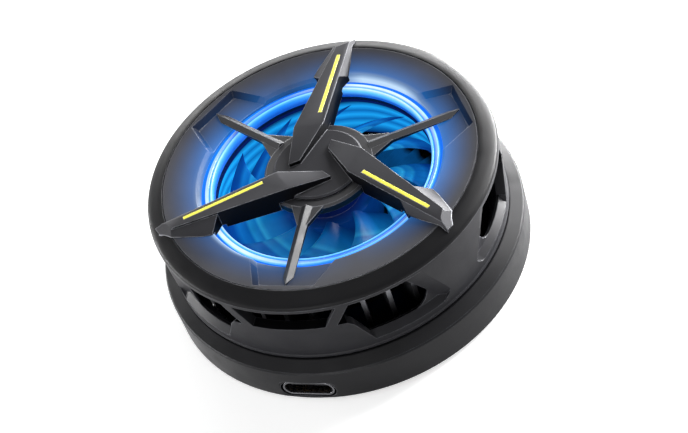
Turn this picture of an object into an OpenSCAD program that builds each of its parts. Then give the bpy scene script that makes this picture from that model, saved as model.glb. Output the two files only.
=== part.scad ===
// Round magnetic cooler for a phone: a thermoelectric stack under a guarded fan.
// Millimetres, +Z up. The origin is on the axis, in the cold face that lies on the phone.
// The supply inlet faces -Y. Ribs and window groups stand at 270, 30 and 150 degrees,
// the arms of the guard at 90, 210 and 330 degrees.

/* [Case] */
// Diameter of the base
base_dia = 64; // [62:0.5:68]
// Height of the top of the base flange above the cold face
base_h = 8.6; // [8.4:0.1:9.2]
// Height of the deck plane above the cold face
deck_h = 23.7; // [23.3:0.1:25]
// Step in radius from the base to the foot of the drum
base_step = 2.4; // [2.2:0.1:2.6]
// Height of the sloping top of the base flange
flange_rise = 1.2; // [0.9:0.1:1.4]
// How far the drum widens towards its top
drum_flare = 0.7; // [0.3:0.1:1]
// Wall thickness of the drum at its foot
drum_wall = 1.5; // [1.3:0.1:1.7]
// Wall thickness of the base
base_wall = 1.8; // [1.5:0.1:2]
// Thickness of the floor of the base
floor_t = 1.2; // [1.1:0.1:1.4]

/* [Deck] */
// Width of the rounded shoulder between drum and deck
shoulder_w = 3; // [2.6:0.1:3.3]
// Height of the rounded shoulder
shoulder_h = 1.8; // [1.5:0.1:2]
// Width of the deck from its edge to the fan opening
deck_w = 6.3; // [5.8:0.1:6.8]
// How far the deck falls from its outer edge to the opening
deck_dish = 0.9; // [0.6:0.1:1.1]
// Depth of the tapered pockets round the rib ends
pocket_depth = 1; // [0.7:0.1:1.1]
// Half width of a pocket at its outer edge
pocket_out = 5.1; // [4.5:0.1:5.6]
// Half width of a pocket at the opening
pocket_in = 6.9; // [6.2:0.1:7.4]
// Distance of the outer edge of a pocket inside the deck edge
pocket_margin = 1.1; // [0.8:0.1:1.6]
// How far the sloping side walls of a pocket run in from its edge to its floor
pocket_slope = 0.9; // [0.6:0.1:1.1]

/* [Guard] */
// Radius of the hub disc of the guard
hub_disc_r = 7.8; // [7:0.1:8.4]
// Radius of the hub of the rib frame
rib_hub_r = 9.6; // [9.2:0.1:10.2]
// Width of a rib
rib_w = 1.8; // [1.4:0.1:2.2]
// Height of the arms above the deck plane at the crease
arm_rise = 2.1; // [1.8:0.1:2.6]
// How far an arm falls from the crease to the tip
arm_fall = 1; // [0.6:0.1:1.2]
// Width of an arm at the crease
arm_root_w = 4.9; // [4.2:0.1:5.2]
// Width of an arm at the tip
arm_tip_w = 2; // [1.7:0.05:2.4]
// How far the left flank of a foot spreads beyond the arm
foot_left = 2.2; // [1.8:0.05:2.4]
// How far the right flank of a foot spreads beyond the arm
foot_right = 0.85; // [0.6:0.05:1.1]
// Width of the chamfer along the right edge of an arm
arm_chamfer = 0.5; // [0.3:0.05:0.7]
// Width of a yellow stripe
stripe_w = 0.6; // [0.4:0.05:0.9]

/* [Windows] */
// Half angle of a window group at the top
vent_top_deg = 38.5; // [36:0.5:40]
// Half angle of a window group near its lower corners
vent_low_deg = 45.5; // [44:0.5:47]
// Angular width of the slanted struts
strut_deg = 4; // [3:0.25:5]
// Angle of the strut at the top of the window
strut_top_deg = 17; // [15:0.5:18]
// Angle of the strut where it meets the panel
strut_low_deg = 11.8; // [10:0.2:13]
// Height of the panel under the middle window
panel_h = 4.9; // [4:0.1:5.6]
// Angular width of the sloping scoops beside a window group
scoop_deg = 8; // [6:0.5:9]

/* [Fan] */
// Gap between the blade tips and the duct round them
blade_gap = 0.9; // [0.6:0.1:1.4]
// Diameter of the hub of the impeller
fan_hub_dia = 16.4; // [15.8:0.2:17]
// Depth of the blade tops under the deck plane
fan_drop = 6.2; // [5.8:0.1:6.6]
// Number of blades
blade_count = 11; // [7:1:13]
// Sweep of a blade from root to tip, degrees
blade_sweep = 30; // [15:1:40]
// Twist of a blade over its height, degrees
blade_twist = 44; // [20:1:50]
// Thickness of a blade, measured level
blade_t = 1.1; // [0.9:0.1:1.4]
// Diameter of the shaft
shaft_dia = 2; // [1.8:0.1:2.2]

/* [Cooling stack] */
// Thickness of the contact pad, which stands below the base
pad_t = 0.6; // [0.5:0.05:0.8]
// Width of the ring of magnets
magnet_w = 3.6; // [3.2:0.1:4]
// Thickness of the flange of the cold plate
plate_flange = 1.6; // [1.5:0.1:1.7]
// Distance of the corners of the thermoelectric module inside the edge of the cold plate
tec_margin = 1.8; // [1.2:0.1:3]
// Height of the pellets in the module
pellet_h = 1.4; // [1.3:0.1:1.5]
// Thickness of the base of the heatsink
sink_base = 1.8; // [1.6:0.1:2]
// Number of fins
fin_count = 36; // [30:6:36]
// Thickness of a fin
fin_t = 0.8; // [0.6:0.1:1]
// Thickness of the magnets
magnet_t = 2.2; // [2:0.1:2.3]
// Number of places for magnets round the ring
magnet_count = 18; // [18:6:24]

/* [Inlet] */
// Width of the inlet cut-out in the base
inlet_w = 9.7; // [9.5:0.1:10.2]
// Height of the inlet cut-out in the base
inlet_h = 3.65; // [3.5:0.05:3.8]
// Depth of the inlet socket
socket_len = 6.5; // [6:0.1:7]

/* [Fits] */
// Gap between a piece and the seat it drops into
seat_gap = 0.05; // [0.03:0.01:0.08]
// Radial play of the shaft in its bush
bush_play = 0.03; // [0.02:0.01:0.05]
// Running gap between rotor magnet and stator
air_gap = 0.3; // [0.25:0.05:0.4]

/* [Hidden] */
$fn = 96;
rib_dirs = [270, 30, 150];
arm_dirs = [90, 210, 330];
inlet_dir = 270;

base_r = base_dia / 2;
drum_foot_r = base_r - base_step;
drum_top_r = drum_foot_r + drum_flare;
drum_in_r = drum_foot_r - drum_wall;
deck_r = drum_top_r - shoulder_w;
open_r = deck_r - deck_w;

// Heights of the stack, from the cold face up
z_floor = pad_t;
z_in = z_floor + floor_t;
z_cold = z_in + plate_flange;
face_t = 0.7;
z_pel = z_cold + face_t;
z_hotface = z_pel + pellet_h;
z_hot = z_hotface + face_t;
z_sink = z_hot + sink_base;

// Case joints
ring_t = 1.4;
spigot_h = 1.1;
spigot_t = 1.4;
z_joint = base_h - spigot_h;
z_rim = deck_h - shoulder_h;
deck_edge_t = 1.3;
z_ledge = deck_h - deck_edge_t;
deck_t = 2.4;
deck_under = deck_h - deck_t;
ledge_w = 1.7;
lip = 0.6;

// Screws between base and drum
case_screw_r = drum_in_r - 0.5;
boss_r = 1.6;
screw_head_r = 1.7;
screw_head_t = 1;
screw_r = 0.9;
screw_play = 0.15;
screw_sink = 0.2;
cross_len = 2;
cross_w = 0.4;
cross_depth = 0.4;
lug_top = base_h + 4.2;
screw_top = lug_top - 1;

// Sink and throat
sink_r = case_screw_r - boss_r - 0.4;
throat_t = 0.8;
throat_r = open_r - 0.1;
throat_in = throat_r - throat_t;
fin_in = throat_r + 0.3;
fin_low_in = 11;
fin_low_h = 1.6;
z_throat = z_sink + fin_low_h + 0.1;
fin_top = deck_under - 1.1;
flange_t = 0.7;
clamp_r = fin_in - 3.8;
clamp_dirs = [90, 210, 330];
clamp_head_r = 1.8;
clamp_head_t = 1.3;
clamp_shank_r = 1;
clamp_recess_r = 0.8;
clamp_recess = 0.8;
head_gap = 0.5;

// Lights
ledge_in = throat_in - 1.2;
z_board = deck_under - 2.1;
led_count = 12;
led_board_t = 0.6;
led_t = 0.6;
led_len = 0.9;
led_w = 1.6;
led_in = (ledge_in + throat_in) / 2 - 0.35;
z_leds = z_board + led_board_t;
z_light = z_leds + led_t + 0.1;
light_top = deck_h - 1.9;

// Fan and motor
fan_r = throat_in - blade_gap;
fan_hub_r = fan_hub_dia / 2;
z_fan_top = deck_h - fan_drop;
z_fan = z_sink + 2.4;
z_hub_top = z_fan_top - 1.1;
hub_cap_t = 0.8;
hub_wall = 0.85;
z_yoke = z_fan - 0.5;
z_yoke_top = z_hub_top - hub_cap_t;
yoke_t = 0.5;
yoke_r = fan_hub_r - hub_wall - seat_gap;
rmag_r = yoke_r - yoke_t - seat_gap;
rmag_t = 1;
z_rmag = z_yoke + 0.1;
z_rmag_top = z_yoke_top - 1.2;
stator_r = rmag_r - rmag_t - air_gap;
z_stator = (z_rmag + z_rmag_top) / 2;
core_t = 0.55 * (z_rmag_top - z_rmag);
coil_over = 0.11 * (z_rmag_top - z_rmag);
pole_count = 6;
pole_w = 0.9;
shoe_w = 3.6;
shoe_t = 0.6;
core_ring_t = 0.8;
coil_w = 1.9;
coil_play = 0.02;
shaft_r = shaft_dia / 2;
bush_r = shaft_r + bush_play;
bush_out = shaft_r + 0.9;
tube_r = bush_out + seat_gap + 0.65;
motor_flange_r = fan_hub_r + 0.2;
motor_flange_t = 0.8;
motor_board_t = 0.6;
z_mboard = z_sink + motor_flange_t + seat_gap;
z_cup = z_sink + 0.3;
washer_t = 0.3;
z_shaft = z_cup + washer_t + 0.1;
clip_t = 0.2;
clip_w = 0.6;
groove_depth = 0.2;
groove_play = 0.02;
z_clip = z_shaft + 0.15;
z_bush = z_clip + clip_t + 0.15;
z_tube_top = z_yoke_top - yoke_t - 0.3;
z_bush_top = z_tube_top - 0.2;

// Magnets, board and inlet
magnet_out = sink_r;
magnet_in = magnet_out - magnet_w;
plate_lip = 1.4;
plate_r = magnet_in - plate_lip - 0.4;
tec_side = (plate_r - tec_margin) * sqrt(2);
shunt_t = 0.6;
magnet_fill = 0.86;
inlet_gap_deg = 26;
inlet_rim_w = 1;
inlet_rim_h = 0.7;
inlet_rim_depth = 0.45;
z_inlet = z_floor + 0.5 + inlet_h / 2;
socket_w = 8.94;
socket_h = 3.26;
socket_wall = 0.3;
socket_back = 0.6;
tongue_w = 6.7;
tongue_t = 0.7;
tongue_in = 1;
socket_face = base_r - 0.6;
board_t = 1;
z_pcb = max(z_inlet + socket_h / 2, z_in + magnet_t + shunt_t) + 0.08;
board_in = magnet_in + 0.4;
board_out = base_r - base_wall - 0.5;
board_w = board_out - board_in;
board_deg = 23;

// Leads
tec_lead_r = 0.45;
tec_lead_x = 3;
tec_lead_slot = 1.2;
tec_lead_end_deg = 9;
z_tec_lead = z_hot - 1.05;
fan_lead_r = 0.4;
lead_hole_y = board_in + 1.4;
lead_hole_r = 0.8;

// Guard
arm_bot = deck_under;
arm_top = deck_h + arm_rise;
crease_x = 6.8;
crease_slant = 0.6;
arm_tip_x = deck_r + 0.3;
tip_slant = 1.3;
arm_k = arm_fall / (arm_tip_x - crease_x);
arm_right_root = 0.15;
arm_right_tip = 0.2;
arm_left_root = arm_right_root + arm_root_w;
arm_left_tip = arm_right_tip + arm_tip_w;
root_right = [-0.1, 3];
root_left = [-1, 4.8];
root_rise = 0.75;
foot_x = open_r - 2.6;
foot_lead = 2.3;
foot_end_x = drum_top_r - 1;
foot_drop = 0.35;
z_rib_hub = deck_h - 0.7;
rib_hub_t = 2.2;
rib_bot = deck_h - 1.5;
rib_ridge = deck_h - 0.15;
rib_roof = 0.55;
rib_flare_t = 0.75;
rib_flare_w = 5.8;
rib_flare_len = 3.4;
pocket_x = deck_r - pocket_margin;
pocket_end = pocket_x - 0.75 * pocket_slope;
stripe_y = 1.35;
stripe_x0 = crease_x + 3;
stripe_x1 = arm_tip_x - 3.4;
stripe_t = 0.35;

// Windows
z_vent_top = z_rim - 0.6;
z_vent_bot = base_h + 3.4;
z_panel = z_vent_bot + panel_h;
vent_mid = 31;
sill_drop = 1.2;
vent_land = 0.45;
panel_top_deg = strut_low_deg + strut_deg + 4.2;
panel_low_deg = panel_top_deg + 4.5;

// Reach of a half space, past the whole part
reach = 70;

// Height of the deck surface at a radius
function deck_z(r) = deck_h - deck_dish * (deck_r - r) / (deck_r - open_r);
// Height of the sloping top of an arm
function arm_z(x) = arm_top - arm_k * (x - crease_x);
// Right and left edges of an arm seen from above
function arm_right(x) =
  arm_right_root + (arm_right_tip - arm_right_root) * (x - crease_x) / (arm_tip_x - crease_x);
function arm_left(x) =
  arm_left_root + (arm_left_tip - arm_left_root) * (x - crease_x) / (arm_tip_x - crease_x);
// Point of the drum wall laid flat round the direction mid
function on_wall(deg, mid, z) = [drum_top_r * sin(deg - mid), z];
// Point in space from an angle, a radius and a height
function at(deg, r, z) = [r * cos(deg), r * sin(deg), z];
// Normal of the plane through three points, turned to the side of the point q
function facing(a, b, c, q) =
  let (n = cross(b - a, c - a))
  n * (q - a) < 0 ? -n : n;
// Profile of the shoulder from the drum up to the deck edge
function shoulder_pts() = [
  for (s = [[0, 0], [0.02, 0.22], [0.1, 0.42], [0.34, 0.66], [0.7, 0.9], [0.9, 0.985], [1, 1]])
    [drum_top_r - s[0] * shoulder_w, z_rim + s[1] * shoulder_h]
];

// Ring between two radii
module ring(r_in, r_out, z0, z1) {
  rotate_extrude()
    translate([r_in, z0])
      square([r_out - r_in, z1 - z0]);
}

// Part of a ring from one angle to another
module arc_ring(r_in, r_out, z0, z1, from, span) {
  rotate([0, 0, from])
    rotate_extrude(angle = span)
      translate([r_in, z0])
        square([r_out - r_in, z1 - z0]);
}

// Rod along +Z
module rod(r, z0, z1) {
  translate([0, 0, z0])
    cylinder(r = r, h = z1 - z0);
}

// Everything on the side of a plane that its normal points to
module half_space(p, n) {
  translate(p)
    rotate([0, acos(n[2] / norm(n)), atan2(n[1], n[0])])
      translate([-reach, -reach, 0])
        cube([2 * reach, 2 * reach, reach]);
}

// Outline in the drum wall pushed through it along one direction
module wall_prism(dir, pts) {
  rotate([0, 0, dir])
    translate([drum_in_r - 4, 0, 0])
      rotate([90, 0, 90])
        linear_extrude(height = 12)
          polygon(pts);
}

// Slot with round ends, along -Y at the inlet
module inlet_slot(w, h, y0, y1) {
  translate([0, -y0, z_inlet])
    rotate([90, 0, 0]) {
      translate([-(w - h) / 2, -h / 2, 0])
        cube([w - h, h, y1 - y0]);
      for (s = [-1, 1])
        translate([s * (w - h) / 2, 0, 0])
          cylinder(d = h, h = y1 - y0, $fn = 48);
    }
}

// Lower shell with the floor, the sloping flange and three screw bosses
module base_shell() {
  color([0.16, 0.16, 0.17])
    difference() {
      union() {
        rotate_extrude()
          polygon([
            [plate_r + 0.3, z_floor],
            [base_r - 0.5, z_floor],
            [base_r - 0.1, z_floor + 0.4],
            [base_r, base_h - flange_rise - 0.15],
            [base_r - 0.2, base_h - flange_rise + 0.2],
            [drum_foot_r + 0.15, base_h],
            [drum_in_r + 0.1, base_h],
            [drum_in_r + 0.1, base_h - ring_t],
            [base_r - base_wall, base_h - ring_t],
            [base_r - base_wall, z_in],
            [plate_r + 0.3, z_in]
          ]);
        for (a = arm_dirs)
          rotate([0, 0, a])
            translate([case_screw_r, 0, 0])
              rod(boss_r, z_in - 0.1, z_joint);
      }
      for (a = arm_dirs)
        rotate([0, 0, a])
          translate([case_screw_r, 0, 0]) {
            rod(screw_r + screw_play, z_floor, z_joint + 1);
            rod(screw_head_r + 0.2, z_floor - 1, z_floor + screw_sink + screw_head_t + seat_gap);
          }
      inlet_slot(inlet_w, inlet_h, base_r - base_wall - 0.6, base_r + 1);
      inlet_slot(inlet_w + inlet_rim_w, inlet_h + inlet_rim_h, base_r - inlet_rim_depth, base_r + 1);
      inlet_slot(socket_w + 0.2, socket_h + 0.1, socket_face - socket_len - 0.3, base_r);
    }
}

// Middle window of a group, between the struts
module middle_window(dir) {
  wall_prism(dir, [
    on_wall(-strut_top_deg, 0, z_vent_top),
    on_wall(-strut_low_deg, 0, z_panel),
    on_wall(strut_low_deg, 0, z_panel),
    on_wall(strut_top_deg, 0, z_vent_top)
  ]);
}

// Lower edge of a side window, from its outer side to the panel
function sill_edge(s, m) = [
  on_wall(s * vent_low_deg, m, z_vent_bot + 3),
  on_wall(s * (vent_low_deg - 0.2), m, z_vent_bot + 2.1),
  on_wall(s * (vent_low_deg - 1.5), m, z_vent_bot + 0.9),
  on_wall(s * (vent_low_deg - 3.2), m, z_vent_bot + 0.25),
  on_wall(s * (vent_low_deg - 5), m, z_vent_bot)
];

// Window beside the panel, on the side s of its group
module side_window(dir, s) {
  m = s * vent_mid;
  wall_prism(dir + m, concat(
    [
      on_wall(s * (strut_top_deg + strut_deg), m, z_vent_top),
      on_wall(s * vent_top_deg, m, z_vent_top)
    ],
    sill_edge(s, m),
    [
      on_wall(s * panel_low_deg, m, z_vent_bot),
      on_wall(s * (panel_top_deg + 0.8), m, z_panel - 0.9),
      on_wall(s * (panel_top_deg - 1), m, z_panel),
      on_wall(s * (strut_low_deg + strut_deg), m, z_panel)
    ]
  ));
}

// Space outside the land that is left along the edge of a side window
module outside_land() {
  r_foot = drum_foot_r + 0.15;
  rotate_extrude()
    polygon([
      [drum_in_r + vent_land, z_vent_top + 1],
      [drum_in_r + vent_land, z_vent_bot],
      [r_foot, z_vent_bot - sill_drop],
      [r_foot + 3, z_vent_bot - sill_drop],
      [r_foot + 3, z_vent_top + 1]
    ]);
}

// Sloping face that leads from the wall down into the outer side of a window
module scoop(dir, s) {
  m = s * vent_mid;
  a = at(s * (vent_top_deg + scoop_deg - 1), drum_top_r + 0.05, z_vent_top);
  b = at(s * (vent_low_deg + scoop_deg), drum_top_r - 0.1, z_vent_bot + 2);
  c = at(s * vent_low_deg, drum_in_r + vent_land, z_vent_bot + 3);
  intersection() {
    wall_prism(dir + m, concat(
      [
        on_wall(s * (vent_low_deg - 3.2), m, z_vent_bot + 0.25),
        on_wall(s * (vent_low_deg - 6), m, z_vent_bot + 3),
        on_wall(s * (vent_top_deg - 1), m, z_vent_top),
        on_wall(s * (vent_top_deg + scoop_deg - 1), m, z_vent_top),
        on_wall(s * (vent_low_deg + scoop_deg), m, z_vent_bot + 2),
        on_wall(s * (vent_low_deg + scoop_deg - 0.4), m, z_vent_bot + 0.8),
        on_wall(s * (vent_low_deg + scoop_deg - 1.1), m, z_vent_bot + 0.05),
        on_wall(s * (vent_low_deg + scoop_deg - 2.1), m, z_vent_bot - 0.5),
        on_wall(s * (vent_low_deg + scoop_deg - 3.4), m, z_vent_bot - 0.95),
        on_wall(s * (vent_low_deg + scoop_deg - 5), m, z_vent_bot - sill_drop)
      ]
    ));
    rotate([0, 0, dir])
      half_space(c, -facing(a, b, c, at(s * vent_low_deg, 0, z_vent_bot + 3)));
    outside_land();
  }
}

// Sloping sill under a side window
module sill(dir, s) {
  m = s * vent_mid;
  intersection() {
    wall_prism(dir + m, [
      on_wall(s * panel_low_deg, m, z_vent_bot + 0.2),
      on_wall(s * (vent_low_deg - 5), m, z_vent_bot + 0.3),
      on_wall(s * (vent_low_deg - 3), m, z_vent_bot + 0.6),
      on_wall(s * (vent_low_deg + scoop_deg - 4.6), m, z_vent_bot - sill_drop - 0.1),
      on_wall(s * (panel_low_deg + 1.2), m, z_vent_bot - sill_drop - 0.1)
    ]);
    outside_land();
  }
}

// Side wall with its windows, its spigot and the screw lugs
module vent_drum() {
  color([0.15, 0.15, 0.16])
    difference() {
      union() {
        rotate_extrude()
          polygon([
            [drum_in_r - spigot_t, z_joint],
            [drum_in_r, z_joint],
            [drum_in_r, base_h],
            [drum_foot_r - 0.35, base_h],
            [drum_foot_r - 0.35, base_h + 0.4],
            [drum_foot_r + 0.1, base_h + 0.6],
            [drum_foot_r + 0.1, base_h + 0.9],
            [drum_foot_r, base_h + 1.05],
            [drum_top_r, z_rim],
            [drum_in_r, z_rim],
            [drum_in_r, base_h + 2.2],
            [drum_in_r - spigot_t, base_h + 0.8]
          ]);
        intersection() {
          for (a = arm_dirs)
            rotate([0, 0, a])
              translate([case_screw_r, 0, 0])
                rod(boss_r - 0.1, z_joint, lug_top);
          rotate_extrude()
            polygon([
              [drum_in_r - 5, z_joint],
              [drum_in_r, z_joint],
              [drum_in_r, base_h],
              [drum_in_r + 0.5, base_h],
              [drum_in_r + 0.5, lug_top],
              [drum_in_r - 5, lug_top]
            ]);
        }
      }
      for (a = arm_dirs)
        rotate([0, 0, a])
          translate([case_screw_r, 0, 0])
            rod(screw_r + seat_gap, z_joint - 1, screw_top + 0.3);
      for (a = rib_dirs) {
        middle_window(a);
        for (s = [-1, 1]) {
          side_window(a, s);
          scoop(a, s);
          sill(a, s);
        }
      }
    }
}

// Rounded shoulder with the ledge for the deck plate
module top_rim() {
  color([0.17, 0.17, 0.18])
    rotate_extrude()
      polygon(concat(shoulder_pts(), [
        [deck_r, z_ledge],
        [deck_r - ledge_w, z_ledge],
        [deck_r - ledge_w, z_rim],
        [drum_in_r - 1.1, z_rim],
        [drum_in_r - 1.1, z_rim - 0.5],
        [drum_in_r - seat_gap, z_rim - 0.5],
        [drum_in_r - seat_gap, z_rim]
      ]));
}

// Inset plate with the opening and the pockets for the rib ends
module deck_plate() {
  edge_r = deck_r - seat_gap - 0.05;
  color([0.26, 0.26, 0.28])
    difference() {
      rotate_extrude()
        polygon([
          [edge_r, z_ledge],
          [edge_r, deck_z(edge_r) - 0.05],
          [edge_r - 0.1, deck_z(edge_r - 0.1)],
          [open_r + lip, deck_z(open_r + lip)],
          [open_r, deck_z(open_r) - 0.45],
          [open_r, deck_under],
          [deck_r - ledge_w - seat_gap, deck_under],
          [deck_r - ledge_w - seat_gap, z_ledge]
        ]);
      for (a = rib_dirs)
        intersection() {
          rotate([0, 0, a])
            pocket_walls();
          pocket_room(0);
        }
    }
}

// Room between the sloping walls of a pocket, open towards the fan
module pocket_walls() {
  far = deck_z(pocket_x);
  difference() {
    translate([open_r - 3, -pocket_in - 3, deck_under - 1])
      cube([deck_r - open_r + 3, 2 * pocket_in + 6, 8]);
    for (s = [-1, 1]) {
      near_edge = [open_r, s * pocket_in, deck_z(open_r)];
      far_edge = [pocket_x, s * pocket_out, far];
      far_foot = [pocket_x, s * (pocket_out - pocket_slope), far - pocket_depth];
      half_space(near_edge, facing(near_edge, far_edge, far_foot, [open_r, s * 500, -500]));
    }
    edge = [pocket_x, -pocket_out, far];
    foot = [pocket_end, 0, far - pocket_depth];
    half_space(edge, facing(edge, [pocket_x, pocket_out, far], foot, [500, 0, -500]));
  }
}

// Everything above the floor of the pockets, lowered by drop
module pocket_room(drop) {
  rotate_extrude()
    polygon([
      [open_r - 2, deck_z(open_r - 2) - pocket_depth - drop],
      [deck_r + 1, deck_z(deck_r + 1) - pocket_depth - drop],
      [deck_r + 1, deck_h + 6],
      [open_r - 2, deck_h + 6]
    ]);
}

// Rib with a ridge that falls from the hub to a point on the floor of its pocket
module rib() {
  top = [rib_hub_r, 0, rib_ridge];
  end = [pocket_end, 0, deck_z(pocket_end) - pocket_depth + 0.35];
  difference() {
    translate([0, 0, rib_bot])
      linear_extrude(height = 6)
        polygon([
          [rib_hub_r - 2, -rib_w / 2],
          [pocket_end - 2, -rib_w / 2],
          [pocket_end - 0.15, 0],
          [pocket_end - 2, rib_w / 2],
          [rib_hub_r - 2, rib_w / 2]
        ]);
    for (s = [-1, 1]) {
      eave = [rib_hub_r, s * rib_w / 2, rib_ridge - rib_roof];
      half_space(top, facing(top, end, eave, [0, 0, 500]));
    }
  }
}

// Hub with three ribs that lie in the pockets of the deck
module rib_frame() {
  color([0.2, 0.2, 0.21])
    difference() {
      union() {
        rotate_extrude()
          polygon([
            [0, z_rib_hub - rib_hub_t],
            [rib_hub_r - 0.6, z_rib_hub - rib_hub_t],
            [rib_hub_r, z_rib_hub - rib_hub_t + 0.6],
            [rib_hub_r, z_rib_hub - 0.4],
            [rib_hub_r - 0.4, z_rib_hub],
            [0, z_rib_hub]
          ]);
        for (a = rib_dirs)
          rotate([0, 0, a]) {
            difference() {
              rib();
              rod(rib_hub_r - 0.5, z_rib_hub, deck_h + 3);
            }
            translate([0, 0, rib_bot])
              linear_extrude(height = rib_flare_t)
                polygon([
                  [rib_hub_r - 1, -rib_flare_w / 2],
                  [rib_hub_r + rib_flare_len, -rib_w / 2],
                  [rib_hub_r + rib_flare_len, rib_w / 2],
                  [rib_hub_r - 1, rib_flare_w / 2]
                ]);
          }
      }
      rotate_extrude()
        polygon([
          [open_r - 0.35, deck_under - 2],
          [open_r - 0.35, deck_z(open_r - 0.35) - pocket_depth + seat_gap],
          [deck_r, deck_z(deck_r) - pocket_depth + seat_gap],
          [deck_r, deck_under - 2]
        ]);
    }
}

// One arm of the guard with its foot, pointing along +X
module guard_arm() {
  xr = crease_x + crease_slant;
  xl = crease_x - crease_slant;
  xt = arm_tip_x - tip_slant;
  right = [xr, arm_right(xr), arm_z(xr)];
  left = [xl, arm_left(xl), arm_z(xl)];
  tip_right = [arm_tip_x, arm_right_tip, arm_z(arm_tip_x)];
  tip_left = [xt, arm_left(xt), arm_z(xt)];
  root = [(root_right[0] + root_left[0]) / 2, (root_right[1] + root_left[1]) / 2, deck_h + root_rise];
  toe = [foot_end_x - 0.5, arm_left_tip - 0.7, deck_h - 0.35];
  over = [0, arm_chamfer, 0];
  difference() {
    union() {
      translate([0, 0, arm_bot])
        linear_extrude(height = arm_top - arm_bot + 1)
          polygon([
            root_left,
            root_right,
            [right[0], right[1]],
            [foot_end_x - 0.3, arm_right(foot_end_x - 0.3)],
            [foot_end_x - 0.3, arm_left(foot_end_x - 0.3)],
            [left[0], left[1]]
          ]);
      foot();
    }
    half_space([crease_x, 0, arm_top], [arm_k, 0, 1]);
    half_space(right, facing(right, left, root, [0, 0, 100]));
    half_space(tip_right, facing(tip_right, tip_left, toe, [100, 0, 100]));
    half_space(
      right + over,
      facing(right + over, tip_right + over, right - [0, 0, arm_chamfer / 2], [0, -50, 100])
    );
  }
}

// Foot of an arm, with flanks that slope down to the deck
module foot() {
  x = foot_x + foot_lead;
  difference() {
    translate([0, 0, arm_bot + 0.3])
      linear_extrude(height = arm_top - arm_bot - 0.8)
        polygon([
          [foot_x, arm_right(foot_x) + 0.3],
          [x, arm_right(foot_x) - foot_right],
          [foot_end_x, arm_right_tip - foot_right * 0.6],
          [foot_end_x - 1, arm_left_tip + foot_left * 0.5],
          [foot_end_x - 2.3, arm_left_tip + foot_left],
          [x, arm_left(foot_x) + foot_left],
          [foot_x, arm_left(foot_x) - 0.3]
        ]);
    foot_side(arm_left(foot_x), arm_left_tip, foot_left);
    foot_side(arm_right(foot_x), arm_right_tip, -foot_right);
    half_space([crease_x, 0, arm_top - foot_drop], [arm_k, 0, 1]);
  }
}

// Sloping flank of a foot, from the edge of the arm down to the deck
module foot_side(y0, y1, spread) {
  a = [foot_x, y0, arm_z(foot_x) - foot_drop];
  b = [arm_tip_x, y1, arm_z(arm_tip_x) - foot_drop];
  c = [foot_x + foot_lead, y0 + spread * 1.25, deck_z(open_r)];
  half_space(a, facing(a, b, c, [foot_x, y0 + spread * 50, 100]));
}

// Bar that lies in the sloping top of an arm, grown by grow on its sides
module stripe_bar(grow) {
  translate([crease_x, stripe_y, arm_top])
    rotate([0, atan(arm_k), 0])
      translate([stripe_x0 - crease_x - grow, -stripe_w / 2 - grow, -stripe_t - grow])
        cube([stripe_x1 - stripe_x0 + 2 * grow, stripe_w + 2 * grow, stripe_t + 0.03 + 4 * grow]);
}

// Arm cut to the hub below it, to the deck it stands on and to its stripe
module seated_arm() {
  difference() {
    guard_arm();
    rod(rib_hub_r + 0.15, arm_bot - 1, z_rib_hub + seat_gap);
    stripe_bar(0.02);
    rotate_extrude()
      polygon(concat(
        [[ledge_in - 0.6, deck_under - 2], [drum_top_r + 2, deck_under - 2]],
        [for (p = shoulder_pts()) p + [seat_gap, seat_gap]],
        [
          [open_r - 0.1, deck_z(open_r) + seat_gap],
          [open_r - 0.1, light_top + 0.2],
          [ledge_in - 0.6, light_top + 0.2]
        ]
      ));
  }
}

// Fixed three-armed guard that lies on the hub and reaches over the shoulder
module blade_cover() {
  color([0.27, 0.27, 0.29])
    union() {
      rotate_extrude()
        polygon([
          [0, z_rib_hub],
          [hub_disc_r, z_rib_hub],
          [hub_disc_r, deck_h - 0.35],
          [hub_disc_r - 0.3, deck_h - 0.05],
          [0, deck_h - 0.05]
        ]);
      for (a = arm_dirs)
        rotate([0, 0, a])
          seated_arm();
    }
}

// Yellow inlays in the arms
module arm_stripes() {
  color([0.95, 0.92, 0.3])
    for (a = arm_dirs)
      rotate([0, 0, a])
        stripe_bar(0);
}

// Duct ring under the deck with the channel for the lights
module fan_throat() {
  color([0.05, 0.07, 0.14])
    rotate_extrude()
      polygon([
        [throat_in, z_throat],
        [throat_r, z_throat],
        [throat_r, deck_under - flange_t],
        [throat_r + 2, deck_under - flange_t],
        [throat_r + 2, deck_under],
        [throat_in + 0.3, deck_under],
        [throat_in + 0.3, z_board],
        [ledge_in, z_board],
        [ledge_in, z_board - 0.5],
        [throat_in, z_board - 1.7]
      ]);
}

// Ring board that carries the lamps
module led_board() {
  color([0.1, 0.3, 0.25])
    ring(ledge_in + 0.1, throat_in + 0.2, z_board, z_leds);
}

// Lamps on the ring board
module leds() {
  color([0.7, 0.85, 1])
    for (i = [0 : led_count - 1])
      rotate([0, 0, (i + 0.5) * 360 / led_count])
        translate([led_in, -led_w / 2, z_leds])
          cube([led_len, led_w, led_t]);
}

// Clear ring that spreads the light round the opening
module light_ring() {
  mid = (ledge_in + throat_in + 0.3) / 2;
  half = (throat_in + 0.2 - ledge_in) / 2;
  color([0.75, 0.9, 1])
    rotate_extrude()
      polygon([
        [mid - half, z_light],
        [mid + half, z_light],
        [mid + half, light_top - 0.5],
        [mid + half * 0.7, light_top - 0.15],
        [mid + half * 0.25, light_top],
        [mid - half * 0.25, light_top],
        [mid - half * 0.7, light_top - 0.15],
        [mid - half, light_top - 0.5]
      ]);
}

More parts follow.
